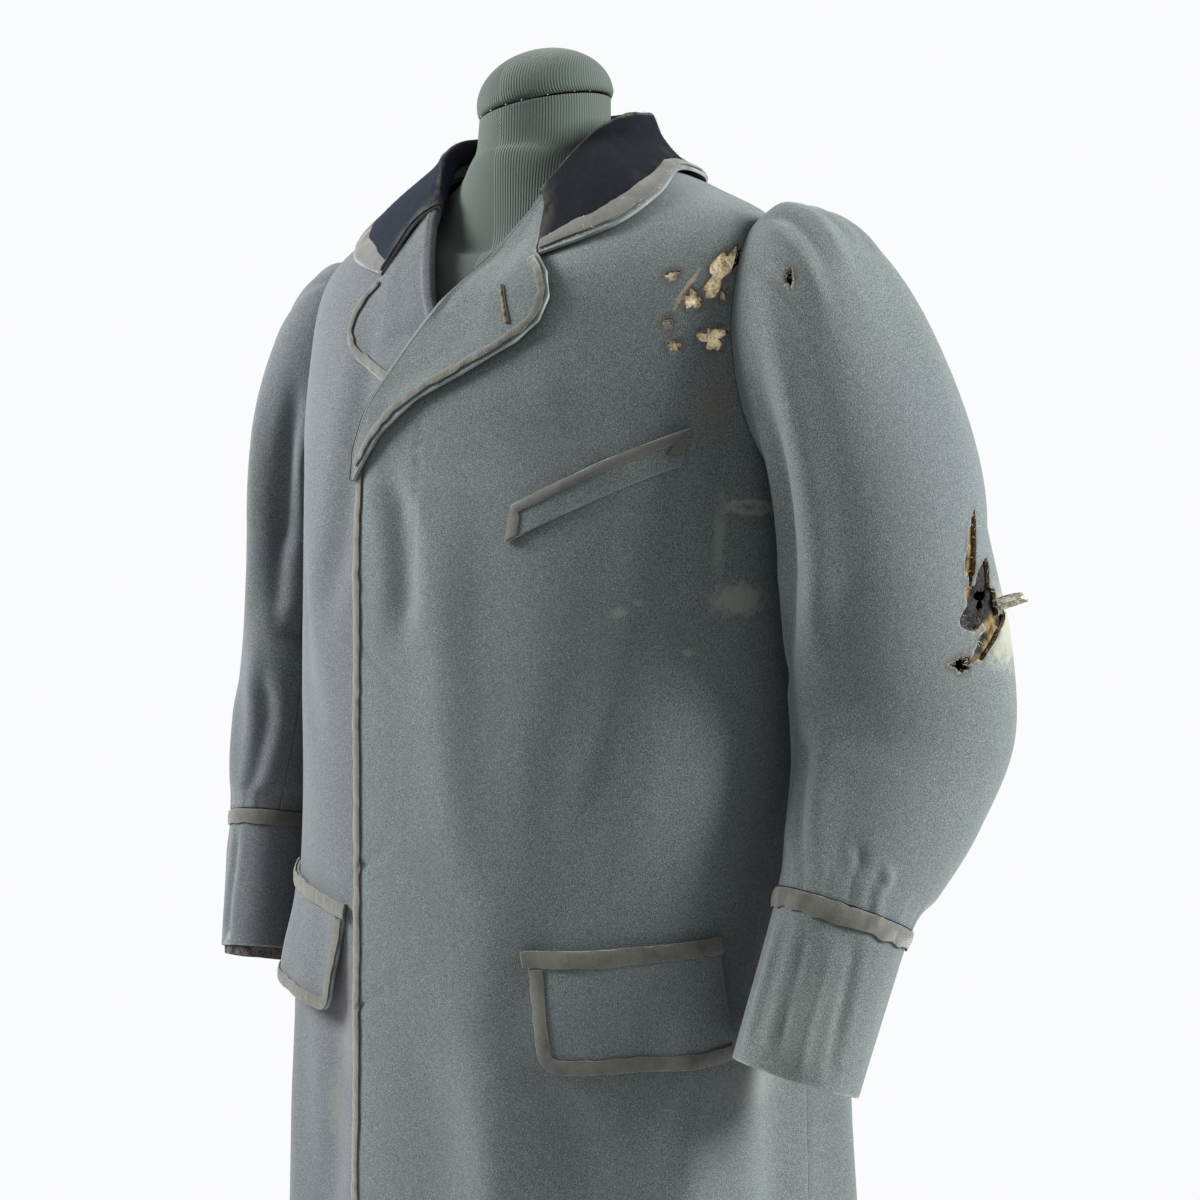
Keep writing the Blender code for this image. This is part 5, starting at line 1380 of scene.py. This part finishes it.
@dataclass
class Lapel:
    """A lapel: the wall that wraps round the roll line and lies on its front."""

    side: Side
    bottom: float
    low: float
    braid_from: float
    rows: int = 104
    columns: int = 42
    spring: float = 0.0018
    spring_width: float = 0.020
    curl: float = 0.0

    def reach(self, z: Array | float) -> Array:
        """Return the x of the outer edge or gorge at a height."""
        heights = [row[0] for row in LAPEL_EDGE] + [NOTCH[1], GORGE_TOP[1]]
        reaches = [row[1] for row in LAPEL_EDGE] + [NOTCH[0] - SEAM, GORGE_TOP[0] - SEAM]
        return np.interp(z, heights, reaches)

    def lift(self, past: Array, z: Array | float) -> Array:
        """Return how far the underside stands off the front, past the roll line."""
        width = self.reach(z) - roll_x(z)
        curl = self.curl * smoothstep(0.35, 1.0, past / np.maximum(width, 0.004)) * smoothstep(0.0, 0.04, width)
        return self.low + self.spring * np.exp(-np.maximum(past, 0.0) / self.spring_width) + curl

    def place(self, x: Array, z: Array, out: Array | float) -> Array:
        """Return points above the lapel's underside."""
        soft = relief_of(LAPEL_CREASES, x, z) * 0.8
        return BODY.plan(self.side, x, z, self.lift(x - roll_x(z), z) + out + np.maximum(soft, -0.0012))

    def section(self, z: float) -> tuple[Array, Array]:
        """Return x and the height over the front of one row, from under the roll to the outer edge."""
        roll = float(roll_x(z))
        width = max(float(self.reach(z)) - roll, 0.0016)
        flat = np.linspace(0.004, 1.0, self.columns) ** 1.25 * width
        first = flat[0]
        controls = [*ROLL_SECTION, (first, float(self.lift(first, z)) + WALL)]
        rolled = spline(controls, np.linspace(0, 3.8, 16))
        past = np.concatenate([rolled[:, 0], flat])
        out = np.concatenate([rolled[:, 1], self.lift(flat, z) + WALL])
        return roll + past, out

    def build(self) -> None:
        """Make the lapel and its braid."""
        heights = np.linspace(self.bottom, GORGE_TOP[1] - 0.002, self.rows)
        sections = [self.section(float(z)) for z in heights]
        x = np.array([row[0] for row in sections])
        out = np.array([row[1] for row in sections])
        z = np.tile(heights[:, None], (1, x.shape[1]))
        soft = np.maximum(relief_of(LAPEL_CREASES, x, z) * 0.8, -0.0012) * smoothstep(0.0, 0.006, x - roll_x(z))
        points = BODY.plan(self.side, x, z, out + soft)
        wear = edge_wear(*points.shape[:2], (0.0, 0.2, 0.0, 0.9), (0.0023, 0.0017), 12)
        if self.side is Side.RIGHT:
            points, wear = points[:, ::-1], wear[:, ::-1]
        wool = self.side.wool()
        piece = Shell(f"{self.side.label}_lapel_cloth", points, (wool, wool), WALL * 0.96,
                      marks={"wear": wear}).make()
        ride(piece, "coat_cloth", f"{self.side.label}_lapel")
        edge = np.array([(row[1], row[0]) for row in LAPEL_EDGE if row[0] >= self.braid_from])
        edge = edge + inward_of(edge, 1) * 0.0024
        braid = Ribbon(f"{self.side.label}_lapel_braid_cloth", lambda a, b, c: self.place(a, b, WALL + c), edge,
                       inward_of(edge, 1), 0.0060, pucker=0.0011, waver=0.0009, seed=21 + self.side.value,
                       flip=self.side is Side.RIGHT, worn=0.3)
        made = ride(braid.make(), "braid", f"{self.side.label}_lapel_braid")


LEFT_LAPEL = Lapel(Side.LEFT, 1.216, 0.0013, 1.220, curl=0.0026)
RIGHT_LAPEL = Lapel(Side.RIGHT, 1.262, 0.0008, 1.270)


def inward_of(path: Array, turn: int) -> Array:
    """Return unit directions square to a flat path, on the side that turn (1 or -1) gives."""
    along = unit(np.gradient(path, axis=0))
    return np.stack([-along[:, 1], along[:, 0]], axis=-1) * turn


COLLAR_END = ((0.0836, 1.3795, 0.0058), (0.0760, 1.3990, 0.0072), (0.0680, 1.4200, 0.0080),
              (0.0550, 1.4345, 0.0052), (0.0540, 1.4345, 0.0000), (0.0565, 1.4340, -0.0040))
COLLAR_ROWS = ((45, 7.56, 58, 0.016), (64, 7.80, 70, 0.022), (86, 8.20, 88, 0.029),
               (116, 8.22, 116, 0.034), (148, 8.10, 148, 0.037), (180, 8.05, 180, 0.038))


@dataclass
class Collar:
    """The collar: undercollar, velvet face and the braid round its edge."""

    steps: int = 147
    layers: int = 58
    wall: float = 0.0025
    edge_out: float = 0.0056
    swell: float = 0.0035
    fall_out: float = 0.0120
    fold_out: float = 0.0040
    stand_in: float = 0.0034
    stand_drop: float = 0.0065
    foot_in: float = 0.0028
    foot_up: float = 0.0008

    def controls(self, side: Side) -> Array:
        """Return each row's points on one side, from the gorge to the middle of the back neck."""
        x, z, out = np.array(COLLAR_END).T
        rows = [BODY.plan(side, x, z, out)]
        plain = BodySurface(())
        for edge_angle, edge_level, fold_angle, rise in COLLAR_ROWS:
            edge, fold = math.radians(edge_angle), math.radians(fold_angle)
            middle = (edge_level + NECK_LEVEL - 0.15) / 2
            lift = 0.0
            if side is Side.LEFT:
                lift = float(plain.overlap(plain.bare(np.array(edge), np.array(edge_level))[..., 0], edge_level))
            neck = plain.at(fold, NECK_LEVEL)
            away = unit(neck * np.array([1.0, 1.0, 0.0]))
            row = np.array([
                plain.at(edge, edge_level, self.edge_out + lift),
                plain.at((edge + fold) / 2, middle, self.edge_out + self.swell + lift / 2),
                neck + away * self.fall_out + UP * rise / 2,
                neck + away * self.fold_out + UP * rise,
                neck - away * self.stand_in + UP * (rise - self.stand_drop),
                neck - away * self.foot_in + UP * self.foot_up,
            ])
            rows.append(row * np.array([side.value, 1.0, 1.0]))
        return np.array(rows)

    def grid(self, out: Array | float = 0.0) -> Array:
        """Return the face, rows from its outer edge over the fold to the seam, moved out along its normals."""
        left, right = self.controls(Side.LEFT), self.controls(Side.RIGHT)
        rows = np.concatenate([left, right[::-1][1:]])
        count = rows.shape[1]
        columns = spline(rows.reshape(len(rows), -1), np.linspace(0, len(rows) - 1, self.steps))
        sections = columns.reshape(self.steps, count, 3).transpose(1, 0, 2).reshape(count, -1)
        points = spline(sections, np.linspace(0, count - 1, self.layers)).reshape(self.layers, self.steps, 3)
        across, up = np.gradient(points, axis=1), np.gradient(points, axis=0)
        return points + unit(np.cross(across, up)) * np.asarray(out, float)[..., None]

    def build(self) -> None:
        """Make the collar's three pieces and its bristling worn edge."""
        row, column = np.meshgrid(np.linspace(0, 1, self.layers), np.linspace(-1, 1, self.steps), indexing="ij")
        soft = 0.0006 * mottle(33, 0.030, column * 0.22, row * 0.10)
        shape = (self.layers, self.steps)
        wear = edge_wear(*shape, (0.9, 0.0, 0.5, 0.5), (0.0018, 0.0030), 14)
        under = Shell("collar_cloth", self.grid(soft), ("front_wool", "front_wool"), self.wall, marks={"wear": wear})
        ride(under.make(), "coat_cloth", "collar")
        keep = slice(int(self.layers * 0.115), int(self.layers * 0.90))
        nap = LAY + 0.0012 + soft + 0.00018 * mottle(37, 0.003, column * 0.22, row * 0.10)
        fold = np.exp(-(((row - 0.60) / 0.030) ** 2))
        ends = smoothstep(0.92, 1.0, np.abs(column))
        rubbed = np.clip(fold * 0.9 + 0.55 * ends + 0.35 * mottle(39, 0.012, column * 0.22, row * 0.10), 0, 1)
        # The collar's right end paler and bluer: partly faded pile, partly painted sheen.
        faded = smoothstep(0.30, 0.75, column) * (0.75 + 0.25 * mottle(41, 0.020, column * 0.22, row * 0.10))
        marks = {"wear": rubbed[keep], "fade": faded[keep]}
        velvet = Shell("velvet_collar_cloth", self.grid(nap)[keep], ("collar_velvet",), 0.0011, 0.0003, marks=marks)
        ride(velvet.make(), "velvet", "velvet_collar")
        self.braid()
        self.nap_hairs()

    def braid(self) -> None:
        """Make the braid round the outer edge."""
        points = self.grid(0.0)
        face = self.grid(0.001)

        def place(u: Array, depth: Array, out: Array) -> Array:
            """Return points outside the collar, u along its edge and depth in from it."""
            column = np.clip((u / COLLAR_SPAN + 0.5) * (self.steps - 1), 0, self.steps - 1)
            layer = np.clip(depth / COLLAR_LAYER * (self.layers - 1) / 72, 0, self.layers - 1)
            low, left = np.floor(layer).astype(int), np.floor(column).astype(int)
            high, right = np.minimum(low + 1, self.layers - 1), np.minimum(left + 1, self.steps - 1)
            a, b = (layer - low)[..., None], (column - left)[..., None]

            def read(grid: Array) -> Array:
                """Return a grid's points between its rows and columns."""
                upper = grid[high, left] * (1 - b) + grid[high, right] * b
                return (grid[low, left] * (1 - b) + grid[low, right] * b) * (1 - a) + upper * a

            base = read(points)
            return base + unit(read(face) - base) * np.asarray(out, float)[..., None]

        path = np.stack([np.linspace(-0.219, 0.219, 60), np.full(60, 0.0034)], axis=-1)
        braid = Ribbon("collar_braid_cloth", place, path, np.tile([0.0, 1.0], (60, 1)), 0.0080, thick=0.0014,
                       pucker=0.0009, waver=0.0009, seed=51, worn=0.3)
        made = ride(braid.make(), "braid", "collar_braid")

    def nap_hairs(self) -> None:
        """Add short bristles where the pile is worn: along the fold and the outer edge."""
        rng = np.random.default_rng(17)
        points, face = self.grid(LAY + 0.0012), self.grid(LAY + 0.0022)
        hairs = Threads("velvet_bristles", "collar_velvet", 0.00010)
        fibres = Threads("edge_fibres", "pale_thread", 0.00007)
        for _ in range(850):
            row, column = int(rng.uniform(0.12, 0.66) * self.layers), int(rng.uniform(0, 1) * (self.steps - 1))
            normal = unit(face[row, column] - points[row, column])
            hairs.tuft(points[row, column], normal + 0.7 * rng.normal(size=3), rng.uniform(0.0010, 0.0022), 0.3, rng)
        for _ in range(160):
            column = int(rng.uniform(0, 1) * (self.steps - 1))
            row = int(rng.uniform(0, 0.11) * self.layers)
            normal = unit(face[row, column] - points[row, column])
            fibres.tuft(points[row, column], normal * 0.6 + 0.8 * rng.normal(size=3), rng.uniform(0.001, 0.004), 0.6,
                        rng)
        ride(hairs.make(), "velvet")
        ride(fibres.make(), "braid")


@dataclass(frozen=True)
class Flap:
    """A hip pocket flap in its front's elevation view, with braid along its top and round its edges."""

    side: Side
    x: float
    z: float
    width: float
    depth: float
    rise: float
    slant: float
    stand: float
    corner: float = 0.018
    thick: float = 0.0026

    def place(self, u: Array, drop: Array, out: Array | float) -> Array:
        """Return points: u runs from the flap's front end, drop down from its top."""
        z = self.z - drop + self.rise * u / self.width
        level = BODY.level_of(np.zeros(z.shape), z)
        around = (u + self.slant * drop / self.depth) / spline(BODY_RINGS, level)[..., 3]
        theta = BODY.angle_of(np.full(z.shape, self.x), level) + around
        stand = self.stand * smoothstep(0.0, self.depth, drop)
        return BODY.front(self.side, theta, level, LAY + out + stand)

    def build(self) -> None:
        """Make the flap, its top band and its braid."""
        mirrored = self.side is Side.RIGHT
        label = self.side.label
        wool = self.side.wool()
        drops = np.linspace(self.depth, -0.0125, 46)
        below = np.clip(drops - (self.depth - self.corner), 0.0, self.corner)
        inset = self.corner - np.sqrt(self.corner**2 - below**2)
        share = np.linspace(0, 1, 80)
        u = inset[:, None] + (self.width - inset[:, None]) * share
        drop = np.tile(drops[:, None], (1, len(share)))
        curl = FLAP_CURL * smoothstep(0.5 * self.depth, self.depth, drop) * Wobble(61, 0.045)(u)
        points = self.place(u, drop, self.thick + curl)
        wear = edge_wear(*points.shape[:2], (0.9, 0.0, 0.9, 0.3), (0.0020, 0.0020), 15)
        if mirrored:
            points, wear = points[:, ::-1], wear[:, ::-1]
        cloth = Shell(f"{label}_flap_cloth", points, (wool, "dark_lining"), self.thick, marks={"wear": wear}).make()
        ride(cloth, "coat_cloth", f"{label}_flap")
        turns = np.linspace(0.0, math.pi / 2, 8)
        upright = np.stack([np.full(6, 0.0006), np.linspace(0.001, self.depth - self.corner, 7)[:-1]], axis=-1)
        bend = np.stack([self.corner - (self.corner - 0.0006) * np.cos(turns),
                         self.depth - self.corner + (self.corner - 0.0006) * np.sin(turns)], axis=-1)
        bottom = np.linspace(self.corner, self.width - 0.001, 12)[1:]
        path = np.concatenate([upright, bend, np.stack([bottom, np.full(11, self.depth - 0.0006)], axis=-1)])

        def on_flap(a: Array, b: Array, c: Array) -> Array:
            """Return points outside the flap's cloth."""
            lifted = FLAP_CURL * smoothstep(0.5 * self.depth, self.depth, b) * Wobble(61, 0.045)(a)
            return self.place(a, b, self.thick + lifted + c)

        edge = Ribbon(f"{label}_flap_braid_cloth", on_flap, path, inward_of(path, -1), 0.0108, pucker=0.0008,
                      waver=0.0006, seed=23, flip=mirrored, worn=0.4)
        made = ride(edge.make(), "braid", f"{label}_flap_braid")
        top = np.stack([np.linspace(-0.0035, self.width + 0.0005, 40), np.full(40, -0.0130)], axis=-1)
        band = Ribbon(f"{label}_flap_band", on_flap, top, np.tile([0.0, 1.0], (40, 1)), 0.0125, thick=0.0016,
                      pucker=0.0010, waver=0.0009, seed=27, flip=not mirrored, worn=0.6)
        made = ride(band.make(), "braid")


@dataclass(frozen=True)
class Welt:
    """The breast welt and its braid, in the left front's elevation view."""

    x: float = 0.088
    z: float = 1.169
    length: float = 0.112
    height: float = 0.028
    rise: float = 0.056
    lean: float = 0.004
    thick: float = 0.0024

    def place(self, u: Array, height: Array, out: Array | float) -> Array:
        """Return points: u runs from the front end, height up from the lower edge."""
        x = self.x + u + self.lean * height / self.height
        z = self.z + height + self.rise * u / self.length
        return BODY.plan(Side.LEFT, x, z, LAY + out)

    def build(self) -> None:
        """Make the welt and the braid along its top and ends."""
        u, height = np.meshgrid(np.linspace(0, self.length, 90), np.linspace(0, self.height, 30))
        points = self.place(u, height, self.thick + 0.0006 * Wobble(71, 0.02)(u))
        wear = edge_wear(*points.shape[:2], (0.4, 0.9, 0.7, 0.5), (0.001, 0.0013), 16)
        cloth = Shell("breast_welt_cloth", points, ("front_wool",), self.thick, marks={"wear": wear}).make()
        ride(cloth, "coat_cloth", "breast_welt")
        top = self.height - 0.0006
        path = np.array([[0.0008, 0.001], [0.0008, top * 0.5], [0.0022, top - 0.0022], [0.010, top]]
                        + [[u, top] for u in np.linspace(0.020, self.length - 0.014, 8)]
                        + [[self.length - 0.006, top], [self.length - 0.0012, top - 0.0025],
                           [self.length - 0.0010, top * 0.4]])
        inward = np.array([[1.0, 0.0]] * 2 + [[0.7, -0.7]] + [[0.0, -1.0]] * 9 + [[-0.2, -1.0], [-0.7, -0.7],
                                                                                 [-1.0, 0.0]])
        braid = Ribbon("breast_welt_braid_cloth", lambda a, b, c: self.place(a, b, self.thick + c), path, inward,
                       0.0088, pucker=0.0007, waver=0.0006, seed=73, flip=True, worn=0.8)
        made = ride(braid.make(), "braid", "breast_welt_braid")


@dataclass
class FrontBraid:
    """The puckered braid down the left front's edge, and the closed buttonhole in the lapel."""

    width: float = 0.0078

    def build(self) -> None:
        """Make the braid and the buttonhole."""
        z = np.linspace(HEM + 0.003, 1.234, 90)
        path = np.stack([roll_x(z) + 0.0012, z], axis=-1)
        braid = Ribbon("left_front_braid_cloth", lambda a, b, c: BODY.plan(Side.LEFT, a, b, c), path,
                       np.tile([1.0, 0.0], (90, 1)), self.width, pucker=0.0011, waver=0.0007, seed=77, flip=True)
        made = ride(braid.make(), "braid", "left_front_braid")
        slit = np.stack([np.linspace(0.067, 0.080, 12), np.linspace(1.353, 1.325, 12)], axis=-1)
        for number, (width, finish, up) in enumerate(((0.0034, "front_wool", 0.0), (0.0011, "frayed_edge", 0.0007))):
            shifted = slit + np.array([-width / 2, 0.0])
            piece = Ribbon(f"buttonhole_{number + 1}", lambda a, b, c: LEFT_LAPEL.place(a, b, WALL + c - LAY + up),
                           shifted, np.tile([1.0, 0.0], (12, 1)), width, thick=0.0006, seed=79, flip=True,
                           finish=finish, worn=0.9)
            ride(piece.make(), "coat_cloth")


@dataclass
class Insides:
    """What the tears and the cuff show: chest wadding, torn sleeve lining and loose fibres."""

    def wadding(self) -> None:
        """Make the lumpy chest wadding, bulging into the tears."""
        levels = np.linspace(5.86, 6.94, 72)
        edges = math.pi / 2 - ARMHOLE_FRONT * np.sqrt(1 - ((levels - ARMHOLE_MIDDLE) / ARMHOLE_HALF) ** 2)
        theta = np.linspace(np.full(levels.shape, math.radians(47)), edges - math.radians(1.0), 62, axis=1)
        level = np.tile(levels[:, None], (1, 62))
        front = Front(Side.LEFT).surface
        base = front(theta, level, -WALL)
        around, up = theta * BODY_GIRTH, base[..., 2]
        lumps = mottle(91, 0.0045, around, up) * 0.5 + mottle(93, 0.002, around, up) * 0.3
        bulge = around_tears(base, FRONT_TEARS, front, 0.008)
        points = front(theta, level, -WALL - 0.0010 + 0.0006 * lumps + bulge * (0.0009 + 0.0008 * lumps))
        piece = Shell("shoulder_wadding_fibre", points, ("chest_wadding",), 0.0036).make()
        ride(piece, "wadding", "shoulder_wadding")

    def elbow(self) -> None:
        """Make the torn lining at the elbow, painted near black as shade inside the sleeve, with the flap that sticks
        out of the hole.
        """
        surface = ARM[Side.LEFT].at
        phi, place = np.meshgrid(np.linspace(math.radians(166), math.radians(254), 68), np.linspace(0.62, 2.55, 84))
        flat = surface(phi, place, 0.0)
        fold = 0.0010 * mottle(95, 0.012, phi * 0.07, flat[..., 2])
        points = surface(phi, place, -WALL - 0.0012 + fold)[:, ::-1]
        gold = around_tears(points, (SLEEVE_TEARS[1], SLEEVE_TEARS[3]), surface, 0.006)
        piece = Shell("left_elbow_lining_cloth", points, ("torn_lining", "dark_lining", "frayed_edge"), 0.0008,
                      0.0, marks={"gold": gold}).make()
        cut_tears(piece, (Tear(212, 1.58, 0.0060, 0.0080, -20, 0.26), Tear(193, 2.06, 0.0058, 0.0042, 0, 0.2)),
                  surface, 2)
        ride(piece, "lining", "left_elbow_lining")
        along, across = np.meshgrid(np.linspace(0, 1, 26), np.linspace(-1, 1, 22))
        root = surface(math.radians(229) + across * 0.10 * (1 - 0.35 * along), 1.70 + across * 0.055, -0.0022)
        normal = unit(surface(math.radians(231), 1.70, 0.01) - surface(math.radians(231), 1.70, 0.0))
        curl = UP * (0.0035 * along + 0.0012 * np.sin(6 * across + 3 * along))[..., None]
        ragged = 1 + 0.18 * Wobble(97, 0.3)(across)
        points = root + normal * (0.0200 * along * ragged)[..., None] + curl
        tongue = Shell("torn_flap", points, ("cream_lining",), 0.0010, 0.0).make()
        ride(tongue, "lining")

    def fibres(self) -> None:
        """Add cream fibres in the front's tears and thread ends round the sleeve's."""
        rng = np.random.default_rng(7)
        cream = Threads("wadding_fibres", "pale_thread", 0.00011)
        front = Front(Side.LEFT).surface
        for tear in FRONT_TEARS:
            centre, _, up, normal = tear.frame(front)
            for _ in range(34):
                spot = tear.ring(front)[rng.integers(0, tear.count)]
                root = centre + (spot - centre) * rng.uniform(0.2, 0.98) - normal * 0.0030
                cream.tuft(root, normal * 0.5 + rng.normal(size=3), rng.uniform(0.002, 0.006), 0.6, rng)
        gold = Threads("lining_threads", "cream_lining", 0.00011)
        surface = ARM[Side.LEFT].at
        for tear in SLEEVE_TEARS:
            centre, across, up, normal = tear.frame(surface)
            rim = tear.ring(surface)
            for _ in range(30):
                spot = rim[rng.integers(0, tear.count)]
                gold.tuft(spot - normal * 0.0020, (centre - spot) * 60 + rng.normal(size=3) * 0.6 + normal * 0.2,
                          rng.uniform(0.002, 0.007), 0.35, rng)
        ride(cream.make(), "wadding")
        ride(gold.make(), "lining")

    def cuff(self) -> None:
        """Make the lining that hangs out below the right cuff."""
        angles = np.linspace(0, 2 * math.pi, 145)
        surface = ARM[Side.RIGHT].at
        hang = 0.004 + 0.008 * (1 + np.cos(angles - math.radians(40))) / 2
        hang = hang + 0.0010 * Wobble(99, 0.4)(angles) * np.sin(angles / 2)
        rows = [surface(angles, place, -WALL - 0.0006) for place in np.linspace(6.5, 6.99, 24)]
        rows += [rows[-1] - UP * (hang * t)[:, None] for t in np.linspace(0, 1, 12)[1:]]
        piece = Shell("right_cuff_lining_cloth", np.array(rows), ("dark_lining",), 0.0012, 0.0, True).make()
        ride(piece, "lining", "right_cuff_lining")

    def build(self) -> None:
        """Make all of it."""
        self.wadding()
        self.elbow()
        self.cuff()
        self.fibres()


CAP_LEAN = math.radians(10)
CAP_RISE = np.array([0.77, 0.64, 0.0])
CAP_AXIS = (-0.64, 0.77, 0.0)


@dataclass
class DressForm:
    """The jersey-covered form with its neck cap, standing on the CAD's pole and base."""

    steps: int = 160
    bottom: float = 0.800

    def rings(self) -> Array:
        """Return the form's own rings from the bottom to the neck's top."""
        insets = ((1.5, 0.075), (3.0, 0.085), (4.0, 0.070), (5.0, 0.042), (6.0, 0.024), (6.6, 0.018),
                  (7.15, 0.0105), (7.6, 0.0039), (8.4, 0.0039), (8.7, 0.0090))
        levels = (2.15, 3.0, 4.0, 5.0, 5.6, 6.0, 6.4, 6.8, 7.15, 7.5, 7.9, 8.3, 8.7)
        neck = ((1.468, 0.0640, 0.0640, 0.0), (1.482, 0.0560, 0.0580, 0.0), (1.500, 0.0525, 0.0560, -0.001),
                (1.516, 0.0520, 0.0555, -0.001))
        theta = np.linspace(0, 2 * math.pi, self.steps + 1)
        sideways = np.abs(np.sin(theta))
        plain, rings = BodySurface(()), []
        for level in levels:
            inset = float(np.interp(level, [row[0] for row in insets], [row[1] for row in insets]))
            at_armhole = smoothstep(5.0, 5.6, level) * (1 - smoothstep(6.9, 7.6, level))
            in_front = 0.010 * smoothstep(6.4, 7.2, level) * (1 - smoothstep(0.70, 0.93, sideways))
            out = -inset - 0.020 * at_armhole * sideways**6 - in_front
            rings.append(plain.at(theta, np.full(theta.shape, level), out))
        for z, wide, deep, middle in neck:
            rings.append(np.stack([wide * np.sin(theta), middle - deep * np.cos(theta), np.full(theta.shape, z)],
                                  axis=-1))
        rings[-1][:, 2] += (rings[-1] @ CAP_RISE) * math.tan(CAP_LEAN)
        rings[0][:, 2] = self.bottom
        return np.array(rings)

    def build(self) -> None:
        """Make the torso, its bottom board, the cap, pins, and paint the stand."""
        rings = self.rings()
        flat = rings.reshape(len(rings), -1)
        points = spline(flat, np.linspace(0, len(rings) - 1, 112)).reshape(112, -1, 3)
        body = Shell("dress_form_jersey", points, ("form_jersey",), 0.0020, 0.0, True).make()
        ride(body, "form_jersey", "dress_form")
        board = disc("dress_form_board", rings[0][:-1] + UP * 0.0006, "form_jersey")
        ride(board, "form_jersey")
        turn = np.linspace(0, 2 * math.pi, self.steps + 1)
        profile = [(0.0500, -0.0060), (0.0545, -0.0052), (0.0560, -0.0022)]
        profile += [(0.056 * math.cos(a), 0.040 * math.sin(a)) for a in np.linspace(0.02, math.pi / 2, 40)]
        profile[-1] = (0.0000001, 0.040)
        rows = [np.stack([r * np.sin(turn), -0.001 - r * np.cos(turn), np.full(turn.shape, z)], axis=-1)
                for r, z in profile]
        cap = np.array(rows)
        cap = cap @ np.array(Matrix.Rotation(-CAP_LEAN, 3, Vector(CAP_AXIS))).T + UP * 1.5236
        made = Shell("neck_cap_jersey", cap, ("form_jersey",), 0.0020, 0.0, True).make()
        ride(made, "form_jersey", "neck_cap")
        pins = Threads("cap_pins", "pin_metal", 0.00035)
        for angle in (-44, -31, -12, 6, 21, 43, 66, 81):
            a = math.radians(angle)
            spot = np.array([0.0535 * math.sin(a), -0.001 - 0.0560 * math.cos(a), 0.0])
            spot = spot + UP * (1.5170 + float(spot @ CAP_RISE) * math.tan(CAP_LEAN))
            pins.strands.append(np.array([spot, spot + np.array([0.0010, 0.0, 0.0004])]))
        ride(pins.make(), "stand_metal")
        for name in ("stand_pole", "stand_base"):
            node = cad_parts[name]
            node.data.materials.clear()
            node.data.materials.append(FINISHES["stand_paint"])


def disc(name: str, ring: Array, finish: str) -> bpy.types.Object:
    """Return a flat face inside a ring of points."""
    shape = filled_ring(ring)
    bmesh.ops.recalc_face_normals(shape, faces=shape.faces)
    return stand(name, mesh_of(shape, name, finish))


@dataclass(frozen=True)
class Lamp:
    """A square soft light: its place, size, power and colour."""

    name: str
    place: tuple[float, float, float]
    size: float
    power: float
    colour: Colour = (1.0, 1.0, 1.0)

    def build(self) -> None:
        """Hang the light, aimed at the coat's chest."""
        light = bpy.data.lights.new(self.name, "AREA")
        light.shape = "SQUARE"
        light.size = self.size
        light.energy = self.power
        light.color = self.colour
        lamp = stand(self.name, light)
        lamp.location = self.place
        lamp.rotation_euler = (LAMP_TARGET - Vector(self.place)).to_track_quat("-Z", "Y").to_euler()


@dataclass(frozen=True)
class Studio:
    """A pale floor, an even white surround, soft lights and the photograph's camera."""

    azimuth: float = 39.9
    elevation: float = 5.8
    distance: float = 1.54
    target_z: float = 1.040
    lens: float = 55.05
    shift: tuple[float, float] = (0.045, 0.0783)

    def build(self) -> None:
        """Set up the studio."""
        shape = bmesh.new()
        bmesh.ops.create_circle(shape, cap_ends=True, segments=96, radius=FLOOR_RADIUS)
        bmesh.ops.translate(shape, vec=(0.0, 0.0, -0.002), verts=shape.verts)
        floor = stand("floor", mesh_of(shape, "floor", "pale_floor"))
        world = bpy.data.worlds.new("studio")
        world.use_nodes = True
        backdrop = world.node_tree.nodes["Background"]
        backdrop.inputs["Color"].default_value = WHITE
        backdrop.inputs["Strength"].default_value = 1.0
        scene = bpy.context.scene
        scene.world = world
        scene.view_settings.view_transform = "Standard"
        Lamp("front_light", (-2.09, -1.36, 2.41), 1.2, 390.0, (1.0, 1.0, 0.98)).build()
        Lamp("side_light", (2.54, 0.99, 2.23), 1.2, 420.0, (1.0, 1.0, 0.98)).build()
        lens = bpy.data.cameras.new("camera")
        lens.lens = self.lens
        lens.sensor_width = 36.0
        lens.shift_x, lens.shift_y = self.shift
        camera = stand("camera", lens)
        azimuth, elevation = math.radians(self.azimuth), math.radians(self.elevation)
        away = Vector((math.sin(azimuth) * math.cos(elevation), -math.cos(azimuth) * math.cos(elevation),
                       math.sin(elevation)))
        camera.location = Vector((0.0, 0.0, self.target_z)) + away * self.distance
        camera.rotation_euler = (-away).to_track_quat("-Z", "Y").to_euler()
        scene.camera = camera


def main() -> None:
    """Build every piece in the order in which the coat goes together."""
    logging.basicConfig(level=logging.INFO)
    build_finishes()
    DressForm().build()
    Back().build()
    for side in Side:
        Front(side).build()
        Sleeve(side).build()
    FrontBraid().build()
    LEFT_LAPEL.build()
    RIGHT_LAPEL.build()
    Collar().build()
    Flap(Side.LEFT, 0.107, 0.852, 0.165, 0.080, 0.014, 0.012, 0.0030).build()
    Flap(Side.RIGHT, 0.086, 0.862, 0.160, 0.083, 0.012, 0.014, 0.0110).build()
    Welt().build()
    Insides().build()
    Studio().build()


if __name__ == "__main__":
    main()
